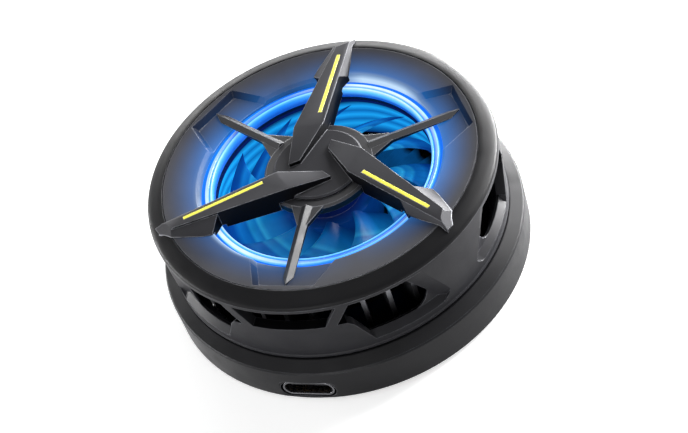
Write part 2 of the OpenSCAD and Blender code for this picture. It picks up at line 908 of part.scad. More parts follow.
// Screws from below into the lugs of the drum
module case_screws() {
  color([0.6, 0.6, 0.62])
    for (a = arm_dirs)
      rotate([0, 0, a])
        translate([case_screw_r, 0, 0])
          difference() {
            union() {
              rod(screw_head_r, z_floor + screw_sink, z_floor + screw_sink + screw_head_t);
              rod(screw_r, z_floor + screw_sink + screw_head_t, screw_top);
            }
            for (t = [0, 90])
              rotate([0, 0, t])
                translate([-cross_len / 2, -cross_w / 2, z_floor - 1])
                  cube([cross_len, cross_w, 1 + screw_sink + cross_depth]);
          }
}

// Soft pad on the cold plate
module contact_pad() {
  color([0.35, 0.36, 0.38])
    rod(plate_r, 0, pad_t);
}

// Cold plate with the flange that lies on the floor of the base
module cold_plate() {
  color([0.75, 0.76, 0.78])
    difference() {
      rotate_extrude()
        polygon([
          [0, z_floor],
          [plate_r, z_floor],
          [plate_r, z_in],
          [plate_r + plate_lip, z_in],
          [plate_r + plate_lip, z_cold],
          [0, z_cold]
        ]);
      for (a = clamp_dirs)
        rotate([0, 0, a])
          translate([clamp_r, 0, 0])
            rod(clamp_shank_r + seat_gap, z_in, z_cold + 1);
    }
}

// Ring of magnets, open towards the inlet
module magnets() {
  step = 360 / magnet_count;
  span = step * magnet_fill;
  color([0.55, 0.55, 0.57])
    for (i = [0 : magnet_count - 1])
      if (abs(((i * step + 180) % 360) - 180) > inlet_gap_deg)
        arc_ring(magnet_in, magnet_out, z_in, z_in + magnet_t, inlet_dir + i * step - span / 2, span);
}

// Steel ring that closes the field behind the magnets
module magnet_shunt() {
  z0 = z_in + magnet_t;
  span = 360 - 2 * inlet_gap_deg;
  color([0.45, 0.46, 0.48])
    arc_ring(magnet_in, magnet_out, z0, z0 + shunt_t, inlet_dir + inlet_gap_deg, span);
}

// Square plate of the thermoelectric module
module tec_plate(z0) {
  translate([-tec_side / 2, -tec_side / 2, z0])
    cube([tec_side, tec_side, face_t]);
}

// Cold ceramic of the module
module peltier_cold_face() {
  color([0.92, 0.92, 0.9])
    tec_plate(z_cold);
}

// Hot ceramic of the module
module peltier_hot_face() {
  color([0.92, 0.92, 0.9])
    tec_plate(z_hotface);
}

// Rows of pellets between the ceramics
module peltier_pellets() {
  n = 6;
  pitch = tec_side / n;
  side = pitch * 0.5;
  first = pitch / 2 - tec_side / 2 - side / 2;
  color([0.4, 0.4, 0.45])
    for (i = [0 : n - 1], j = [0 : n - 1])
      translate([first + i * pitch, first + j * pitch, z_pel])
        cube([side, side, pellet_h]);
}

// Foam round the module, between cold plate and heatsink
module foam_gasket() {
  hole = tec_side + 0.4;
  color([0.12, 0.12, 0.12])
    difference() {
      rod(plate_r, z_cold, z_hot);
      translate([-hole / 2, -hole / 2, z_cold - 1])
        cube([hole, hole, 6]);
      for (a = clamp_dirs)
        rotate([0, 0, a])
          translate([clamp_r, 0, 0])
            rod(clamp_shank_r + 0.25, z_cold - 1, z_hot + 1);
      for (s = [-1, 1])
        translate([s * tec_lead_x - tec_lead_slot / 2, -plate_r - 1, z_tec_lead - 0.7])
          cube([tec_lead_slot, plate_r, 4]);
    }
}

// Two leads from the module to the control board
module tec_leads() {
  reach_y = board_in * cos(tec_lead_end_deg) - 2 * seat_gap;
  color([0.7, 0.1, 0.1])
    for (s = [-1, 1])
      translate([s * tec_lead_x, -tec_side / 2 - seat_gap, z_tec_lead])
        rotate([90, 0, 0])
          cylinder(r = tec_lead_r, h = reach_y - tec_side / 2, $fn = 24);
}

// Angle between a direction and the nearest clamp screw
function clamp_off(a) = min([for (c = clamp_dirs) abs((a - c + 900) % 360 - 180)]);
// Radius where a fin in a direction starts, behind the head of a clamp screw if one is near
function fin_start(a) =
  clamp_off(a) < asin((clamp_head_r + head_gap + fin_t / 2) / clamp_r)
    ? clamp_r + clamp_head_r + head_gap
    : fin_low_in;

// Heatsink with fins that rise round the fan
module heatsink() {
  color([0.6, 0.62, 0.65])
    difference() {
      union() {
        rod(sink_r, z_hot, z_sink);
        for (i = [0 : fin_count - 1]) {
          a = (i + 0.5) * 360 / fin_count + inlet_dir;
          rotate([0, 0, a])
            translate([0, fin_t / 2, 0])
              rotate([90, 0, 0])
                linear_extrude(height = fin_t)
                  polygon([
                    [fin_start(a), z_sink - 0.2],
                    [sink_r - 0.2, z_sink - 0.2],
                    [sink_r - 0.2, fin_top],
                    [fin_in, fin_top],
                    [fin_in, z_sink + fin_low_h],
                    [fin_start(a), z_sink + fin_low_h]
                  ]);
        }
      }
      for (a = clamp_dirs)
        rotate([0, 0, a])
          translate([clamp_r, 0, 0])
            rod(clamp_shank_r + screw_play, z_hot - 1, z_sink + 1);
      translate([0, -lead_hole_y, z_hot - 1])
        cylinder(r = lead_hole_r, h = sink_base + 2, $fn = 32);
    }
}

// Screws that clamp the heatsink on the cold plate
module clamp_screws() {
  color([0.65, 0.65, 0.67])
    for (a = clamp_dirs)
      rotate([0, 0, a])
        translate([clamp_r, 0, 0])
          difference() {
            union() {
              rod(clamp_shank_r, z_in + 0.3, z_sink);
              rod(clamp_head_r, z_sink, z_sink + clamp_head_t);
            }
            rod(clamp_recess_r, z_sink + clamp_head_t - clamp_recess, z_sink + clamp_head_t + 1);
          }
}

// Control board over the inlet socket, with its chips
module control_board() {
  color([0.08, 0.3, 0.16])
    union() {
      arc_ring(board_in, board_out, z_pcb, z_pcb + board_t, inlet_dir - board_deg, 2 * board_deg);
      for (c = [[-0.84, 0.29, 1.1], [-0.28, 0.45, 0.8], [0.5, 0.25, 0.7]])
        translate([c[0] * socket_w, -board_out + 0.1 * board_w, z_pcb + board_t - 0.1])
          cube([c[1] * socket_w, 0.28 * board_w, c[2]]);
    }
}

// Metal shell of the inlet socket
module usb_shell() {
  y0 = socket_face - socket_len;
  in_w = socket_w - 2 * socket_wall;
  in_h = socket_h - 2 * socket_wall;
  color([0.7, 0.7, 0.72])
    difference() {
      inlet_slot(socket_w, socket_h, y0, socket_face);
      inlet_slot(in_w, in_h, y0 + socket_back, socket_face + 1);
    }
}

// Contact tongue inside the socket
module usb_tongue() {
  color([0.08, 0.08, 0.08])
    translate([-tongue_w / 2, -(socket_face - tongue_in), z_inlet - tongue_t / 2])
      cube([tongue_w, socket_len - socket_back - tongue_in, tongue_t]);
}

// Motor flange on the heatsink with the tube for the bush
module motor_base() {
  color([0.1, 0.1, 0.11])
    rotate_extrude()
      polygon([
        [0, z_sink],
        [motor_flange_r, z_sink],
        [motor_flange_r, z_sink + motor_flange_t],
        [tube_r, z_sink + motor_flange_t],
        [tube_r, z_tube_top],
        [bush_out + seat_gap, z_tube_top],
        [bush_out + seat_gap, z_cup],
        [0, z_cup]
      ]);
}

// Ring board with the motor driver
module motor_board() {
  color([0.08, 0.28, 0.2])
    ring(tube_r + 0.1, motor_flange_r - 0.3, z_mboard, z_mboard + motor_board_t);
}

// Washer under the end of the shaft
module thrust_washer() {
  color([0.85, 0.83, 0.75])
    rod(bush_out, z_cup, z_cup + washer_t);
}

// Bush in which the shaft turns
module bearing_sleeve() {
  color([0.72, 0.55, 0.3])
    ring(bush_r, bush_out, z_bush, z_bush_top);
}

// Poles of the stator
module stator_core() {
  color([0.5, 0.5, 0.52])
    union() {
      ring(tube_r + seat_gap, tube_r + core_ring_t, z_stator - core_t / 2, z_stator + core_t / 2);
      for (i = [0 : pole_count - 1])
        intersection() {
          ring(tube_r + 0.5, stator_r, z_stator - core_t / 2, z_stator + core_t / 2);
          rotate([0, 0, i * 360 / pole_count])
            translate([0, 0, z_stator - core_t / 2])
              linear_extrude(height = core_t)
                polygon([
                  [0, -pole_w / 2],
                  [stator_r - shoe_t - 0.1, -pole_w / 2],
                  [stator_r - shoe_t, -shoe_w / 2],
                  [stator_r + 1, -shoe_w / 2 - 0.4],
                  [stator_r + 1, shoe_w / 2 + 0.4],
                  [stator_r - shoe_t, shoe_w / 2],
                  [stator_r - shoe_t - 0.1, pole_w / 2],
                  [0, pole_w / 2]
                ]);
        }
    }
}

// Windings on the poles
module stator_coils() {
  coil_in = tube_r + core_ring_t + 0.1;
  coil_len = stator_r - shoe_t - 0.15 - coil_in;
  color([0.75, 0.4, 0.15])
    for (i = [0 : pole_count - 1])
      rotate([0, 0, i * 360 / pole_count])
        translate([coil_in, 0, z_stator])
          difference() {
            translate([0, -coil_w / 2, -core_t / 2 - coil_over])
              cube([coil_len, coil_w, core_t + 2 * coil_over]);
            translate([-1, -pole_w / 2 - coil_play, -core_t / 2 - coil_play])
              cube([coil_len + 2, pole_w + 2 * coil_play, core_t + 2 * coil_play]);
          }
}

// Lead from the motor board over the heatsink down to the control board
module fan_leads() {
  y_in = motor_flange_r + 0.1;
  z = z_sink + fan_lead_r + 0.1;
  z_end = z_pcb + board_t + seat_gap;
  color([0.1, 0.1, 0.1])
    union() {
      translate([0, -y_in, z])
        rotate([90, 0, 0])
          cylinder(r = fan_lead_r, h = lead_hole_y - y_in, $fn = 24);
      translate([0, -lead_hole_y, z])
        sphere(r = fan_lead_r, $fn = 24);
      translate([0, -lead_hole_y, z_end])
        cylinder(r = fan_lead_r, h = z - z_end, $fn = 24);
    }
}

// Shaft with the groove for its clip
module fan_shaft() {
  color([0.8, 0.8, 0.82])
    rotate_extrude()
      polygon([
        [0, z_shaft],
        [shaft_r, z_shaft],
        [shaft_r, z_clip - groove_play],
        [shaft_r - groove_depth, z_clip - groove_play],
        [shaft_r - groove_depth, z_clip + clip_t + groove_play],
        [shaft_r, z_clip + clip_t + groove_play],
        [shaft_r, z_yoke_top],
        [0, z_yoke_top]
      ]);
}

// Clip that keeps the shaft in the bush
module shaft_clip() {
  color([0.2, 0.2, 0.2])
    ring(shaft_r - groove_depth + 0.03, shaft_r + clip_w, z_clip, z_clip + clip_t);
}

// Steel cup that carries the magnet
module rotor_yoke() {
  color([0.6, 0.61, 0.63])
    rotate_extrude()
      polygon([
        [shaft_r + 0.02, z_yoke_top - yoke_t],
        [yoke_r - yoke_t, z_yoke_top - yoke_t],
        [yoke_r - yoke_t, z_yoke],
        [yoke_r, z_yoke],
        [yoke_r, z_yoke_top],
        [shaft_r + 0.02, z_yoke_top]
      ]);
}

// Ring magnet of the rotor
module rotor_magnet() {
  color([0.3, 0.3, 0.32])
    ring(rmag_r - rmag_t, rmag_r, z_rmag, z_rmag_top);
}

// One swept blade seen from above
module blade_outline() {
  n = 8;
  r0 = fan_hub_r - 0.3;
  rs = [for (i = [0 : n]) r0 + (fan_r - r0) * i / n];
  half = [for (r = rs) blade_t / 2 / r * 180 / PI];
  turn = [for (i = [0 : n]) -blade_sweep * pow(i / n, 1.2)];
  polygon(concat(
    [for (i = [0 : n]) rs[i] * [cos(turn[i] - half[i]), sin(turn[i] - half[i])]],
    [for (i = [n : -1 : 0]) rs[i] * [cos(turn[i] + half[i]), sin(turn[i] + half[i])]]
  ));
}

// Hub cup with twisted blades
module fan_impeller() {
  color([0.3, 0.6, 0.85])
    union() {
      rotate_extrude()
        polygon([
          [0, z_yoke_top],
          [fan_hub_r - hub_wall, z_yoke_top],
          [fan_hub_r - hub_wall, z_yoke],
          [fan_hub_r, z_yoke],
          [fan_hub_r, z_hub_top - 0.5],
          [fan_hub_r - 0.5, z_hub_top],
          [0, z_hub_top]
        ]);
      for (i = [0 : blade_count - 1])
        rotate([0, 0, i * 360 / blade_count])
          translate([0, 0, z_fan])
            linear_extrude(height = z_fan_top - z_fan, twist = blade_twist, slices = 8, $fn = 18)
              blade_outline();
    }
}

base_shell();
vent_drum();
top_rim();
deck_plate();
rib_frame();
blade_cover();
arm_stripes();
light_ring();
leds();
led_board();
fan_throat();
case_screws();
contact_pad();
cold_plate();
magnets();
magnet_shunt();
peltier_cold_face();
peltier_pellets();
peltier_hot_face();
foam_gasket();
tec_leads();
heatsink();
clamp_screws();
control_board();
usb_shell();
usb_tongue();
motor_base();
motor_board();
thrust_washer();
bearing_sleeve();
stator_core();
stator_coils();
fan_leads();
fan_shaft();
shaft_clip();
rotor_yoke();
rotor_magnet();
fan_impeller();
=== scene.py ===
"""Dresses a round magnetic cooler for a phone: finishes, fine pieces, studio and camera."""

import logging
import math
from dataclasses import dataclass, field
from enum import Enum
from typing import Sequence

import bmesh
import bpy
from mathutils import Matrix, Vector


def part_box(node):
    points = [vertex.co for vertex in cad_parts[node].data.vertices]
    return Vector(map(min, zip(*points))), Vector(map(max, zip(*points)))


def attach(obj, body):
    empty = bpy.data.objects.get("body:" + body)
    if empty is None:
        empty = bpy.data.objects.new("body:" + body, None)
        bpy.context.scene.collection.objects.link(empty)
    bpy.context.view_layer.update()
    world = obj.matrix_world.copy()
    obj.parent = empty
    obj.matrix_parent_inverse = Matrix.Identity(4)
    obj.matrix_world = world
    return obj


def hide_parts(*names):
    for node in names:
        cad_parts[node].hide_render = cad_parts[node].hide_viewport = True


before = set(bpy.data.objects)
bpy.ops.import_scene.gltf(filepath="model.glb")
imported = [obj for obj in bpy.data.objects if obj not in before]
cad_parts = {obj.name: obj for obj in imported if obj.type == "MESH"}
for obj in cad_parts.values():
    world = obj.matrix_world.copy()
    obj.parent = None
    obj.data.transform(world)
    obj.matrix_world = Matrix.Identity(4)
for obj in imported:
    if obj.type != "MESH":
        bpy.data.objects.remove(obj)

MM = 0.001
# Angles where shading breaks, where flats are joined and where edges are eased
SHARP_EDGE = math.radians(40)
FLAT_ANGLE = math.radians(0.4)
EASED_ANGLE = math.radians(28)
# Gap that is welded, in millimetres, and the least size that counts
WELD_GAP = 0.002
TINY = 1e-6
# Most of a side that the rounding of one corner takes up
CORNER_SHARE = 0.45
# Radians that a wave texture runs through over one unit of its scale
WAVE_RATE = 20
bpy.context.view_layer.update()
Colour = tuple[float, float, float]
Point = tuple[float, float]
log = logging.getLogger("cooler")

# How bright the lit ring and the glow painted on the deck beside it are, by the angle from +X in degrees
RING_SWEEP = [
    (0, 0.35), (30, 0.6), (58, 1.0), (82, 1.0), (100, 0.6), (125, 0.25), (155, 0.4), (190, 0.7),
    (215, 1.0), (242, 1.0), (262, 0.6), (290, 0.25), (330, 0.4),
]
DECK_SWEEP = [
    (0, 1.0), (50, 0.8), (85, 0.95), (118, 0.3), (168, 1.0), (215, 0.55), (250, 0.5), (298, 0.08),
    (345, 0.85),
]


def tint(red: int, green: int, blue: int) -> Colour:
    """Turns a screen colour of 0 to 255 into a shader colour.

    Args:
        red: Red part of the colour.
        green: Green part of the colour.
        blue: Blue part of the colour.

    Returns:
        The same colour in linear light.
    """

    def linear(part: int) -> float:
        """Gives one part of a colour in linear light."""
        share = part / 255
        return share / 12.92 if share <= 0.04045 else ((share + 0.055) / 1.055) ** 2.4

    return linear(red), linear(green), linear(blue)


def shaded(colour: Colour, factor: float) -> Colour:
    """Gives a darker or paler shade of a colour."""
    return tuple(part * factor for part in colour)


# Finishes


class Board:
    """Lays out the shader nodes of one material."""

    def __init__(self, name: str) -> None:
        """Starts a material with one surface shader.

        Args:
            name: Name of the material.
        """
        self.material = bpy.data.materials.new(name)
        self.material.use_nodes = True
        tree = self.material.node_tree
        self.nodes, self.links = tree.nodes, tree.links
        self.nodes.clear()
        output = self.nodes.new("ShaderNodeOutputMaterial")
        self.surface = self.nodes.new("ShaderNodeBsdfPrincipled")
        self.links.new(self.surface.outputs["BSDF"], output.inputs["Surface"])
        self.place = self.nodes.new("ShaderNodeTexCoord").outputs["Object"]

    def put(self, **sockets: object) -> None:
        """Sets or links inputs of the surface shader.

        Args:
            sockets: Value or socket for each input, with _ for the spaces of its name.
        """
        for key, value in sockets.items():
            self.feed(self.surface.inputs[key.replace("_", " ")], value)

    def feed(self, socket: bpy.types.NodeSocket, value: object) -> None:
        """Gives an input a value, or links it to an output.

        Args:
            socket: Input to feed.
            value: A number, a colour or an output socket.
        """
        if isinstance(value, bpy.types.NodeSocket):
            self.links.new(value, socket)
        elif isinstance(value, tuple) and len(value) == 3 and socket.type == "RGBA":
            socket.default_value = (*value, 1.0)
        else:
            socket.default_value = value

    def noise(
        self, grain: float, detail: float = 2.0, stretch: Sequence[float] = (1, 1, 1)
    ) -> bpy.types.NodeSocket:
        """Makes a cloudy pattern.

        Args:
            grain: Size of a patch in millimetres.
            detail: Number of finer layers.
            stretch: Scale of the pattern along X, Y and Z.

        Returns:
            The strength of the pattern, from 0 to 1.
        """
        scale = self.nodes.new("ShaderNodeMapping")
        scale.inputs["Scale"].default_value = stretch
        self.links.new(self.place, scale.inputs["Vector"])
        pattern = self.nodes.new("ShaderNodeTexNoise")
        pattern.inputs["Scale"].default_value = 1 / (grain * MM)
        pattern.inputs["Detail"].default_value = detail
        self.links.new(scale.outputs["Vector"], pattern.inputs["Vector"])
        return pattern.outputs["Fac"]

    def bands(self, pitch: float, wobble: float = 0.0) -> bpy.types.NodeSocket:
        """Makes even bands, one above the other.

        Args:
            pitch: Distance from one band to the next in millimetres.
            wobble: How far the bands waver.

        Returns:
            The strength of the bands, from 0 to 1.
        """
        pattern = self.nodes.new("ShaderNodeTexWave")
        pattern.wave_type = "BANDS"
        pattern.bands_direction = "Z"
        pattern.inputs["Scale"].default_value = 2 * math.pi / (WAVE_RATE * pitch * MM)
        pattern.inputs["Distortion"].default_value = wobble
        self.links.new(self.place, pattern.inputs["Vector"])
        return pattern.outputs["Fac"]

    def radius(self) -> bpy.types.NodeSocket:
        """Measures how far the surface lies from the axis.

        Returns:
            The distance in millimetres.
        """
        flat = self.nodes.new("ShaderNodeVectorMath")
        flat.operation = "MULTIPLY"
        flat.inputs[1].default_value = (1 / MM, 1 / MM, 0)
        self.links.new(self.place, flat.inputs[0])
        size = self.nodes.new("ShaderNodeVectorMath")
        size.operation = "LENGTH"
        self.links.new(flat.outputs["Vector"], size.inputs[0])
        return size.outputs["Value"]

    def height(self) -> bpy.types.NodeSocket:
        """Measures how high the surface lies above the cold face.

        Returns:
            The height in millimetres.
        """
        parts = self.nodes.new("ShaderNodeSeparateXYZ")
        self.links.new(self.place, parts.inputs["Vector"])
        return self.math("MULTIPLY", parts.outputs["Z"], 1 / MM)

    def upward(self) -> bpy.types.NodeSocket:
        """Measures how far the surface looks up.

        Returns:
            1 for a top face, 0 for a wall and -1 for an underside.
        """
        parts = self.nodes.new("ShaderNodeSeparateXYZ")
        normal = self.nodes.new("ShaderNodeNewGeometry").outputs["Normal"]
        self.links.new(normal, parts.inputs["Vector"])
        return parts.outputs["Z"]

    def around(self, stops: Sequence[Point]) -> bpy.types.NodeSocket:
        """Makes a value that changes round the axis.

        Args:
            stops: Angles from +X in degrees, with the value from 0 to 1 at each.

        Returns:
            The value.
        """
        sweep = self.nodes.new("ShaderNodeTexGradient")
        sweep.gradient_type = "RADIAL"
        self.links.new(self.place, sweep.inputs["Vector"])
        keys = sorted(((angle / 360 + 0.5) % 1.0, share) for angle, share in stops)
        (first, start), (last, end) = keys[0], keys[-1]
        seam = end + (start - end) * (1 - last) / (1 - last + first)
        closed = [(0.0, seam), *keys, (1.0, seam)]
        greys = [(place, (share, share, share)) for place, share in closed]
        return self.ramp(sweep.outputs["Fac"], greys)

    def math(self, operation: str, first: object, second: object) -> bpy.types.NodeSocket:
        """Works out one sum.

        Args:
            operation: Name of the sum.
            first: Number or socket.
            second: Number or socket.

        Returns:
            The result.
        """
        step = self.nodes.new("ShaderNodeMath")
        step.operation = operation
        self.feed(step.inputs[0], first)
        self.feed(step.inputs[1], second)
        return step.outputs["Value"]

    def span(self, value: bpy.types.NodeSocket, source: Point, target: Point) -> bpy.types.NodeSocket:
        """Maps a value from one range to another.

        Args:
            value: Value to map.
            source: Range that it comes from.
            target: Range that it goes to.

        Returns:
            The mapped value.
        """
        step = self.nodes.new("ShaderNodeMapRange")
        for name, number in zip(("From Min", "From Max", "To Min", "To Max"), (*source, *target)):
            step.inputs[name].default_value = number
        self.links.new(value, step.inputs["Value"])
        return step.outputs["Result"]

    def ramp(
        self, value: bpy.types.NodeSocket, stops: Sequence[tuple[float, Colour]]
    ) -> bpy.types.NodeSocket:
        """Turns a value into a colour.

        Args:
            value: Value from 0 to 1.
            stops: Places and colours along the ramp.

        Returns:
            The colour.
        """
        step = self.nodes.new("ShaderNodeValToRGB")
        keys = step.color_ramp.elements
        while len(keys) < len(stops):
            keys.new(1.0)
        for key, (place, colour) in zip(keys, stops):
            key.position = place
            key.color = (*colour, 1.0)
        self.links.new(value, step.inputs["Fac"])
        return step.outputs["Color"]

    def clouds(self, grain: float, detail: float, low: float, high: float) -> bpy.types.NodeSocket:
        """Makes a cloudy value.

        Args:
            grain: Size of a cloud in millimetres.
            detail: Number of finer layers.
            low: Least value.
            high: Greatest value.

        Returns:
            The value.
        """
        return self.span(self.noise(grain, detail), (0.3, 0.7), (low, high))

    def mix(self, share: bpy.types.NodeSocket, low: object, high: object) -> bpy.types.NodeSocket:
        """Blends two colours.

        Args:
            share: How much of the second colour shows.
            low: First colour.
            high: Second colour.

        Returns:
            The blended colour.
        """
        step = self.nodes.new("ShaderNodeMix")
        step.data_type = "RGBA"
        self.links.new(share, step.inputs["Factor"])
        colours = [socket for socket in step.inputs if socket.type == "RGBA"]
        self.feed(colours[0], low)
        self.feed(colours[1], high)
        return next(socket for socket in step.outputs if socket.type == "RGBA")

    def bump(
        self, pattern: bpy.types.NodeSocket, depth: float, below: bpy.types.NodeSocket | None = None
    ) -> bpy.types.NodeSocket:
        """Raises a pattern on the surface.

        Args:
            pattern: Height of the pattern, from 0 to 1.
            depth: Height of the pattern in millimetres.
            below: Normal that the pattern lies on.

        Returns:
            The new normal.
        """
        step = self.nodes.new("ShaderNodeBump")
        step.inputs["Strength"].default_value = 1.0
        step.inputs["Distance"].default_value = depth * MM
        self.links.new(pattern, step.inputs["Height"])
        if below is not None:
            self.links.new(below, step.inputs["Normal"])
        return step.outputs["Normal"]

    def eased(self, width: float) -> bpy.types.NodeSocket:
        """Rounds the edges of the surface.

        Args:
            width: Radius of the rounding in millimetres.

        Returns:
            The rounded normal.
        """
        step = self.nodes.new("ShaderNodeBevel")
        step.samples = 6
        step.inputs["Radius"].default_value = width * MM
        return step.outputs["Normal"]

    def edges(self, eased: bpy.types.NodeSocket) -> bpy.types.NodeSocket:
        """Finds the edges of the surface.

        Args:
            eased: Normal with rounded edges.

        Returns:
            0 on flats and 1 along edges, broken up a little.
        """
        plain = self.nodes.new("ShaderNodeNewGeometry").outputs["Normal"]
        dot = self.nodes.new("ShaderNodeVectorMath")
        dot.operation = "DOT_PRODUCT"
        self.links.new(eased, dot.inputs[0])
        self.links.new(plain, dot.inputs[1])
        sharp = self.span(dot.outputs["Value"], (0.99, 0.86), (0.0, 1.0))
        broken = self.span(self.noise(1.6, 4), (0.3, 0.65), (0.35, 1.0))
        return self.math("MULTIPLY", sharp, broken)


@dataclass(frozen=True)
class Finish:
    """A finish that surfaces share. Lengths are in millimetres."""

    name: str

    def lay(self, board: Board) -> None:
        """Lays the finish out on a board of shader nodes."""
        raise NotImplementedError

    def material(self) -> bpy.types.Material:
        """Makes the finish into a material, once.

        Returns:
            The material.
        """
        title = f"finish_{self.name}"
        known = bpy.data.materials.get(title)
        if known is None:
            board = Board(title)
            self.lay(board)
            known = board.material
        return known


@dataclass(frozen=True)
class MouldedPlastic(Finish):
    """Moulded plastic with a fine spark texture, and paler edges that stand for both wear from handling and
    painted highlights.
    """

    colour: Colour
    roughness: float = 0.42
    grain: float = 0.16
    depth: float = 0.008
    ease: float = 0.22
    # Paler colour of the edges and how much of it shows: part wear, part painted highlight
    edge_wear_and_highlight: Colour = tint(120, 122, 128)
    edge_wear_and_highlight_share: float = 0.5
    gloss: float = 0.28
    coat: float = 0.0
    coat_roughness: float = 0.18
    darkest: float = 0.86
    palest: float = 1.12

    def body(self, board: Board) -> bpy.types.NodeSocket:
        """Lays out the cloudy colour of the plastic."""
        dark, pale = shaded(self.colour, self.darkest), shaded(self.colour, self.palest)
        return board.ramp(board.noise(9, 4), [(0.32, dark), (0.68, pale)])

    def lay(self, board: Board) -> None:
        """Lays out the plastic: cloudy colour, spark texture, and paler edges for wear and painted
        highlights.

        Args:
            board: Board that it is laid out on.
        """
        eased = board.eased(self.ease)
        # Edges painted paler, for wear and as painted highlights
        edge = board.math("MULTIPLY", board.edges(eased), self.edge_wear_and_highlight_share)
        fine = board.noise(self.grain, 3)
        board.put(
            Base_Color=board.mix(edge, self.body(board), self.edge_wear_and_highlight),
            Roughness=board.clouds(3.5, 5, self.roughness - 0.05, self.roughness + 0.07),
            Normal=board.bump(fine, self.depth, eased),
            Specular_IOR_Level=self.gloss,
            Coat_Weight=self.coat,
            Coat_Roughness=self.coat_roughness,
        )


@dataclass(frozen=True)
class PaintedShadePlastic(MouldedPlastic):
    """Moulded plastic with painted shade: a dark colour on faces, picked by how far they look up, and the
    satin colour on the rest.
    """

    # Colour of the painted shade, and the range of how far a face looks up over which it blends into the
    # satin colour
    side: Colour = tint(9, 9, 11)
    steep: float = 0.2
    level: float = 0.45

    def body(self, board: Board) -> bpy.types.NodeSocket:
        """Paints shade on the faces by how far the surface looks up, over the cloudy satin colour."""
        # Share of the satin colour: 0 where the painted shade shows
        unshaded = board.span(board.upward(), (self.steep, self.level), (0.0, 1.0))
        return board.mix(unshaded, self.side, super().body(board))


@dataclass(frozen=True)
class HaloPlastic(PaintedShadePlastic):
    """Plastic with painted shade on its walls and a painted glow: emission that stands in for the ring's
    light spilling over it, brightest next to the ring.
    """

    steep: float = 0.78
    level: float = 0.93
    # Colours, reach and strength of the painted glow that stands in for the ring's light on the deck
    halo: Colour = tint(30, 146, 255)
    core: Colour = tint(206, 234, 255)
    start: float = 20.9
    reach: float = 6.4
    core_reach: float = 1.3
    fading: float = 1.8
    glow: float = 0.62
    bright_edge: float = 22.0
    edge_blend: float = 0.2
    arc_from: float = 0.55
    underside: Point = (-0.5, -0.1)

    def body(self, board: Board) -> bpy.types.NodeSocket:
        """Lays out the painted shade, but not over the edge next to the ring, which keeps the plain colour.
        """
        border = (self.bright_edge, self.bright_edge + self.edge_blend)
        near = board.span(board.radius(), border, (1.0, 0.0))
        return board.mix(near, super().body(board), self.colour)

    def lay(self, board: Board) -> None:
        """Lays out the plastic, with a painted glow over it that stands in for the spill of the ring's
        light.

        Args:
            board: Board that it is laid out on.
        """
        super().lay(board)
        near = board.span(board.radius(), (self.start, self.start + self.reach), (1.0, 0.0))
        spill = board.math("MULTIPLY", board.math("POWER", near, self.fading), board.around(DECK_SWEEP))
        beside = board.span(board.radius(), (self.start, self.start + self.core_reach), (1.0, 0.0))
        arcs = board.span(board.around(RING_SWEEP), (self.arc_from, 1.0), (0.0, 1.0))
        hot = board.math("MULTIPLY", beside, arcs)
        light = board.math("MAXIMUM", board.math("MULTIPLY", spill, self.glow), hot)
        lit = board.span(board.upward(), self.underside, (0.0, 1.0))
        board.put(
            Emission_Color=board.mix(hot, self.halo, self.core),
            Emission_Strength=board.math("MULTIPLY", light, lit),
        )


@dataclass(frozen=True)
class Metal(Finish):
    """Bare or plated metal with tool marks."""

    colour: Colour
    roughness: float = 0.32
    lay_of_marks: Colour = (1.0, 1.0, 1.0)
    depth: float = 0.004
    ease: float = 0.1
    tarnish: float = 0.78
    polish: float = 1.15

    def body(self, board: Board) -> bpy.types.NodeSocket:
        """Lays out the tarnish of the metal, with bright edges.

        Args:
            board: Board that it is laid out on.

        Returns:
            The colour of the metal.
        """
        dull, bright = shaded(self.colour, self.tarnish), shaded(self.colour, self.polish)
        tarnished = board.ramp(board.noise(4, 4), [(0.3, dull), (0.7, self.colour)])
        return board.mix(board.edges(board.eased(self.ease)), tarnished, bright)

    def lay(self, board: Board) -> None:
        """Lays out the metal: tool marks, tarnish and bright edges.

        Args:
            board: Board that it is laid out on.
        """
        eased = board.eased(self.ease)
        marks = board.noise(0.25, 4, self.lay_of_marks)
        board.put(
            Base_Color=self.body(board),
            Metallic=1.0,
            Roughness=board.span(marks, (0.25, 0.75), (self.roughness - 0.08, self.roughness + 0.1)),
            Normal=board.bump(marks, self.depth, eased),
        )


@dataclass(frozen=True)
class Laminate(Finish):
    """Circuit board with a lacquered face and buried tracks."""

    colour: Colour
    track: Colour
    pitch: float = 1.3
    relief: float = 0.03

    def lay(self, board: Board) -> None:
        """Lays out the circuit board: lacquer over tracks.

        Args:
            board: Board that it is laid out on.
        """
        cells = board.nodes.new("ShaderNodeTexVoronoi")
        cells.feature = "DISTANCE_TO_EDGE"
        cells.inputs["Scale"].default_value = 1 / (self.pitch * MM)
        board.links.new(board.place, cells.inputs["Vector"])
        tracks = board.span(cells.outputs["Distance"], (0.04, 0.12), (1.0, 0.0))
        lacquer = board.ramp(board.noise(2, 3), [(0.3, shaded(self.colour, 0.8)), (0.7, self.colour)])
        board.put(
            Base_Color=board.mix(tracks, lacquer, self.track),
            Roughness=board.clouds(0.8, 3, 0.25, 0.4),
            Normal=board.bump(tracks, self.relief),
        )


@dataclass(frozen=True)
class WoundWire(Finish):
    """Enamelled wire laid turn by turn."""

    colour: Colour
    pitch: float = 0.24
    relief: float = 0.1

    def lay(self, board: Board) -> None:
        """Lays out the turns of the winding.

        Args:
            board: Board that it is laid out on.
        """
        turns = board.bands(self.pitch, wobble=0.4)
        board.put(
            Base_Color=board.ramp(turns, [(0.0, shaded(self.colour, 0.35)), (0.6, self.colour)]),
            Metallic=0.85,
            Roughness=board.clouds(0.6, 3, 0.25, 0.4),
            Normal=board.bump(turns, self.relief),
        )


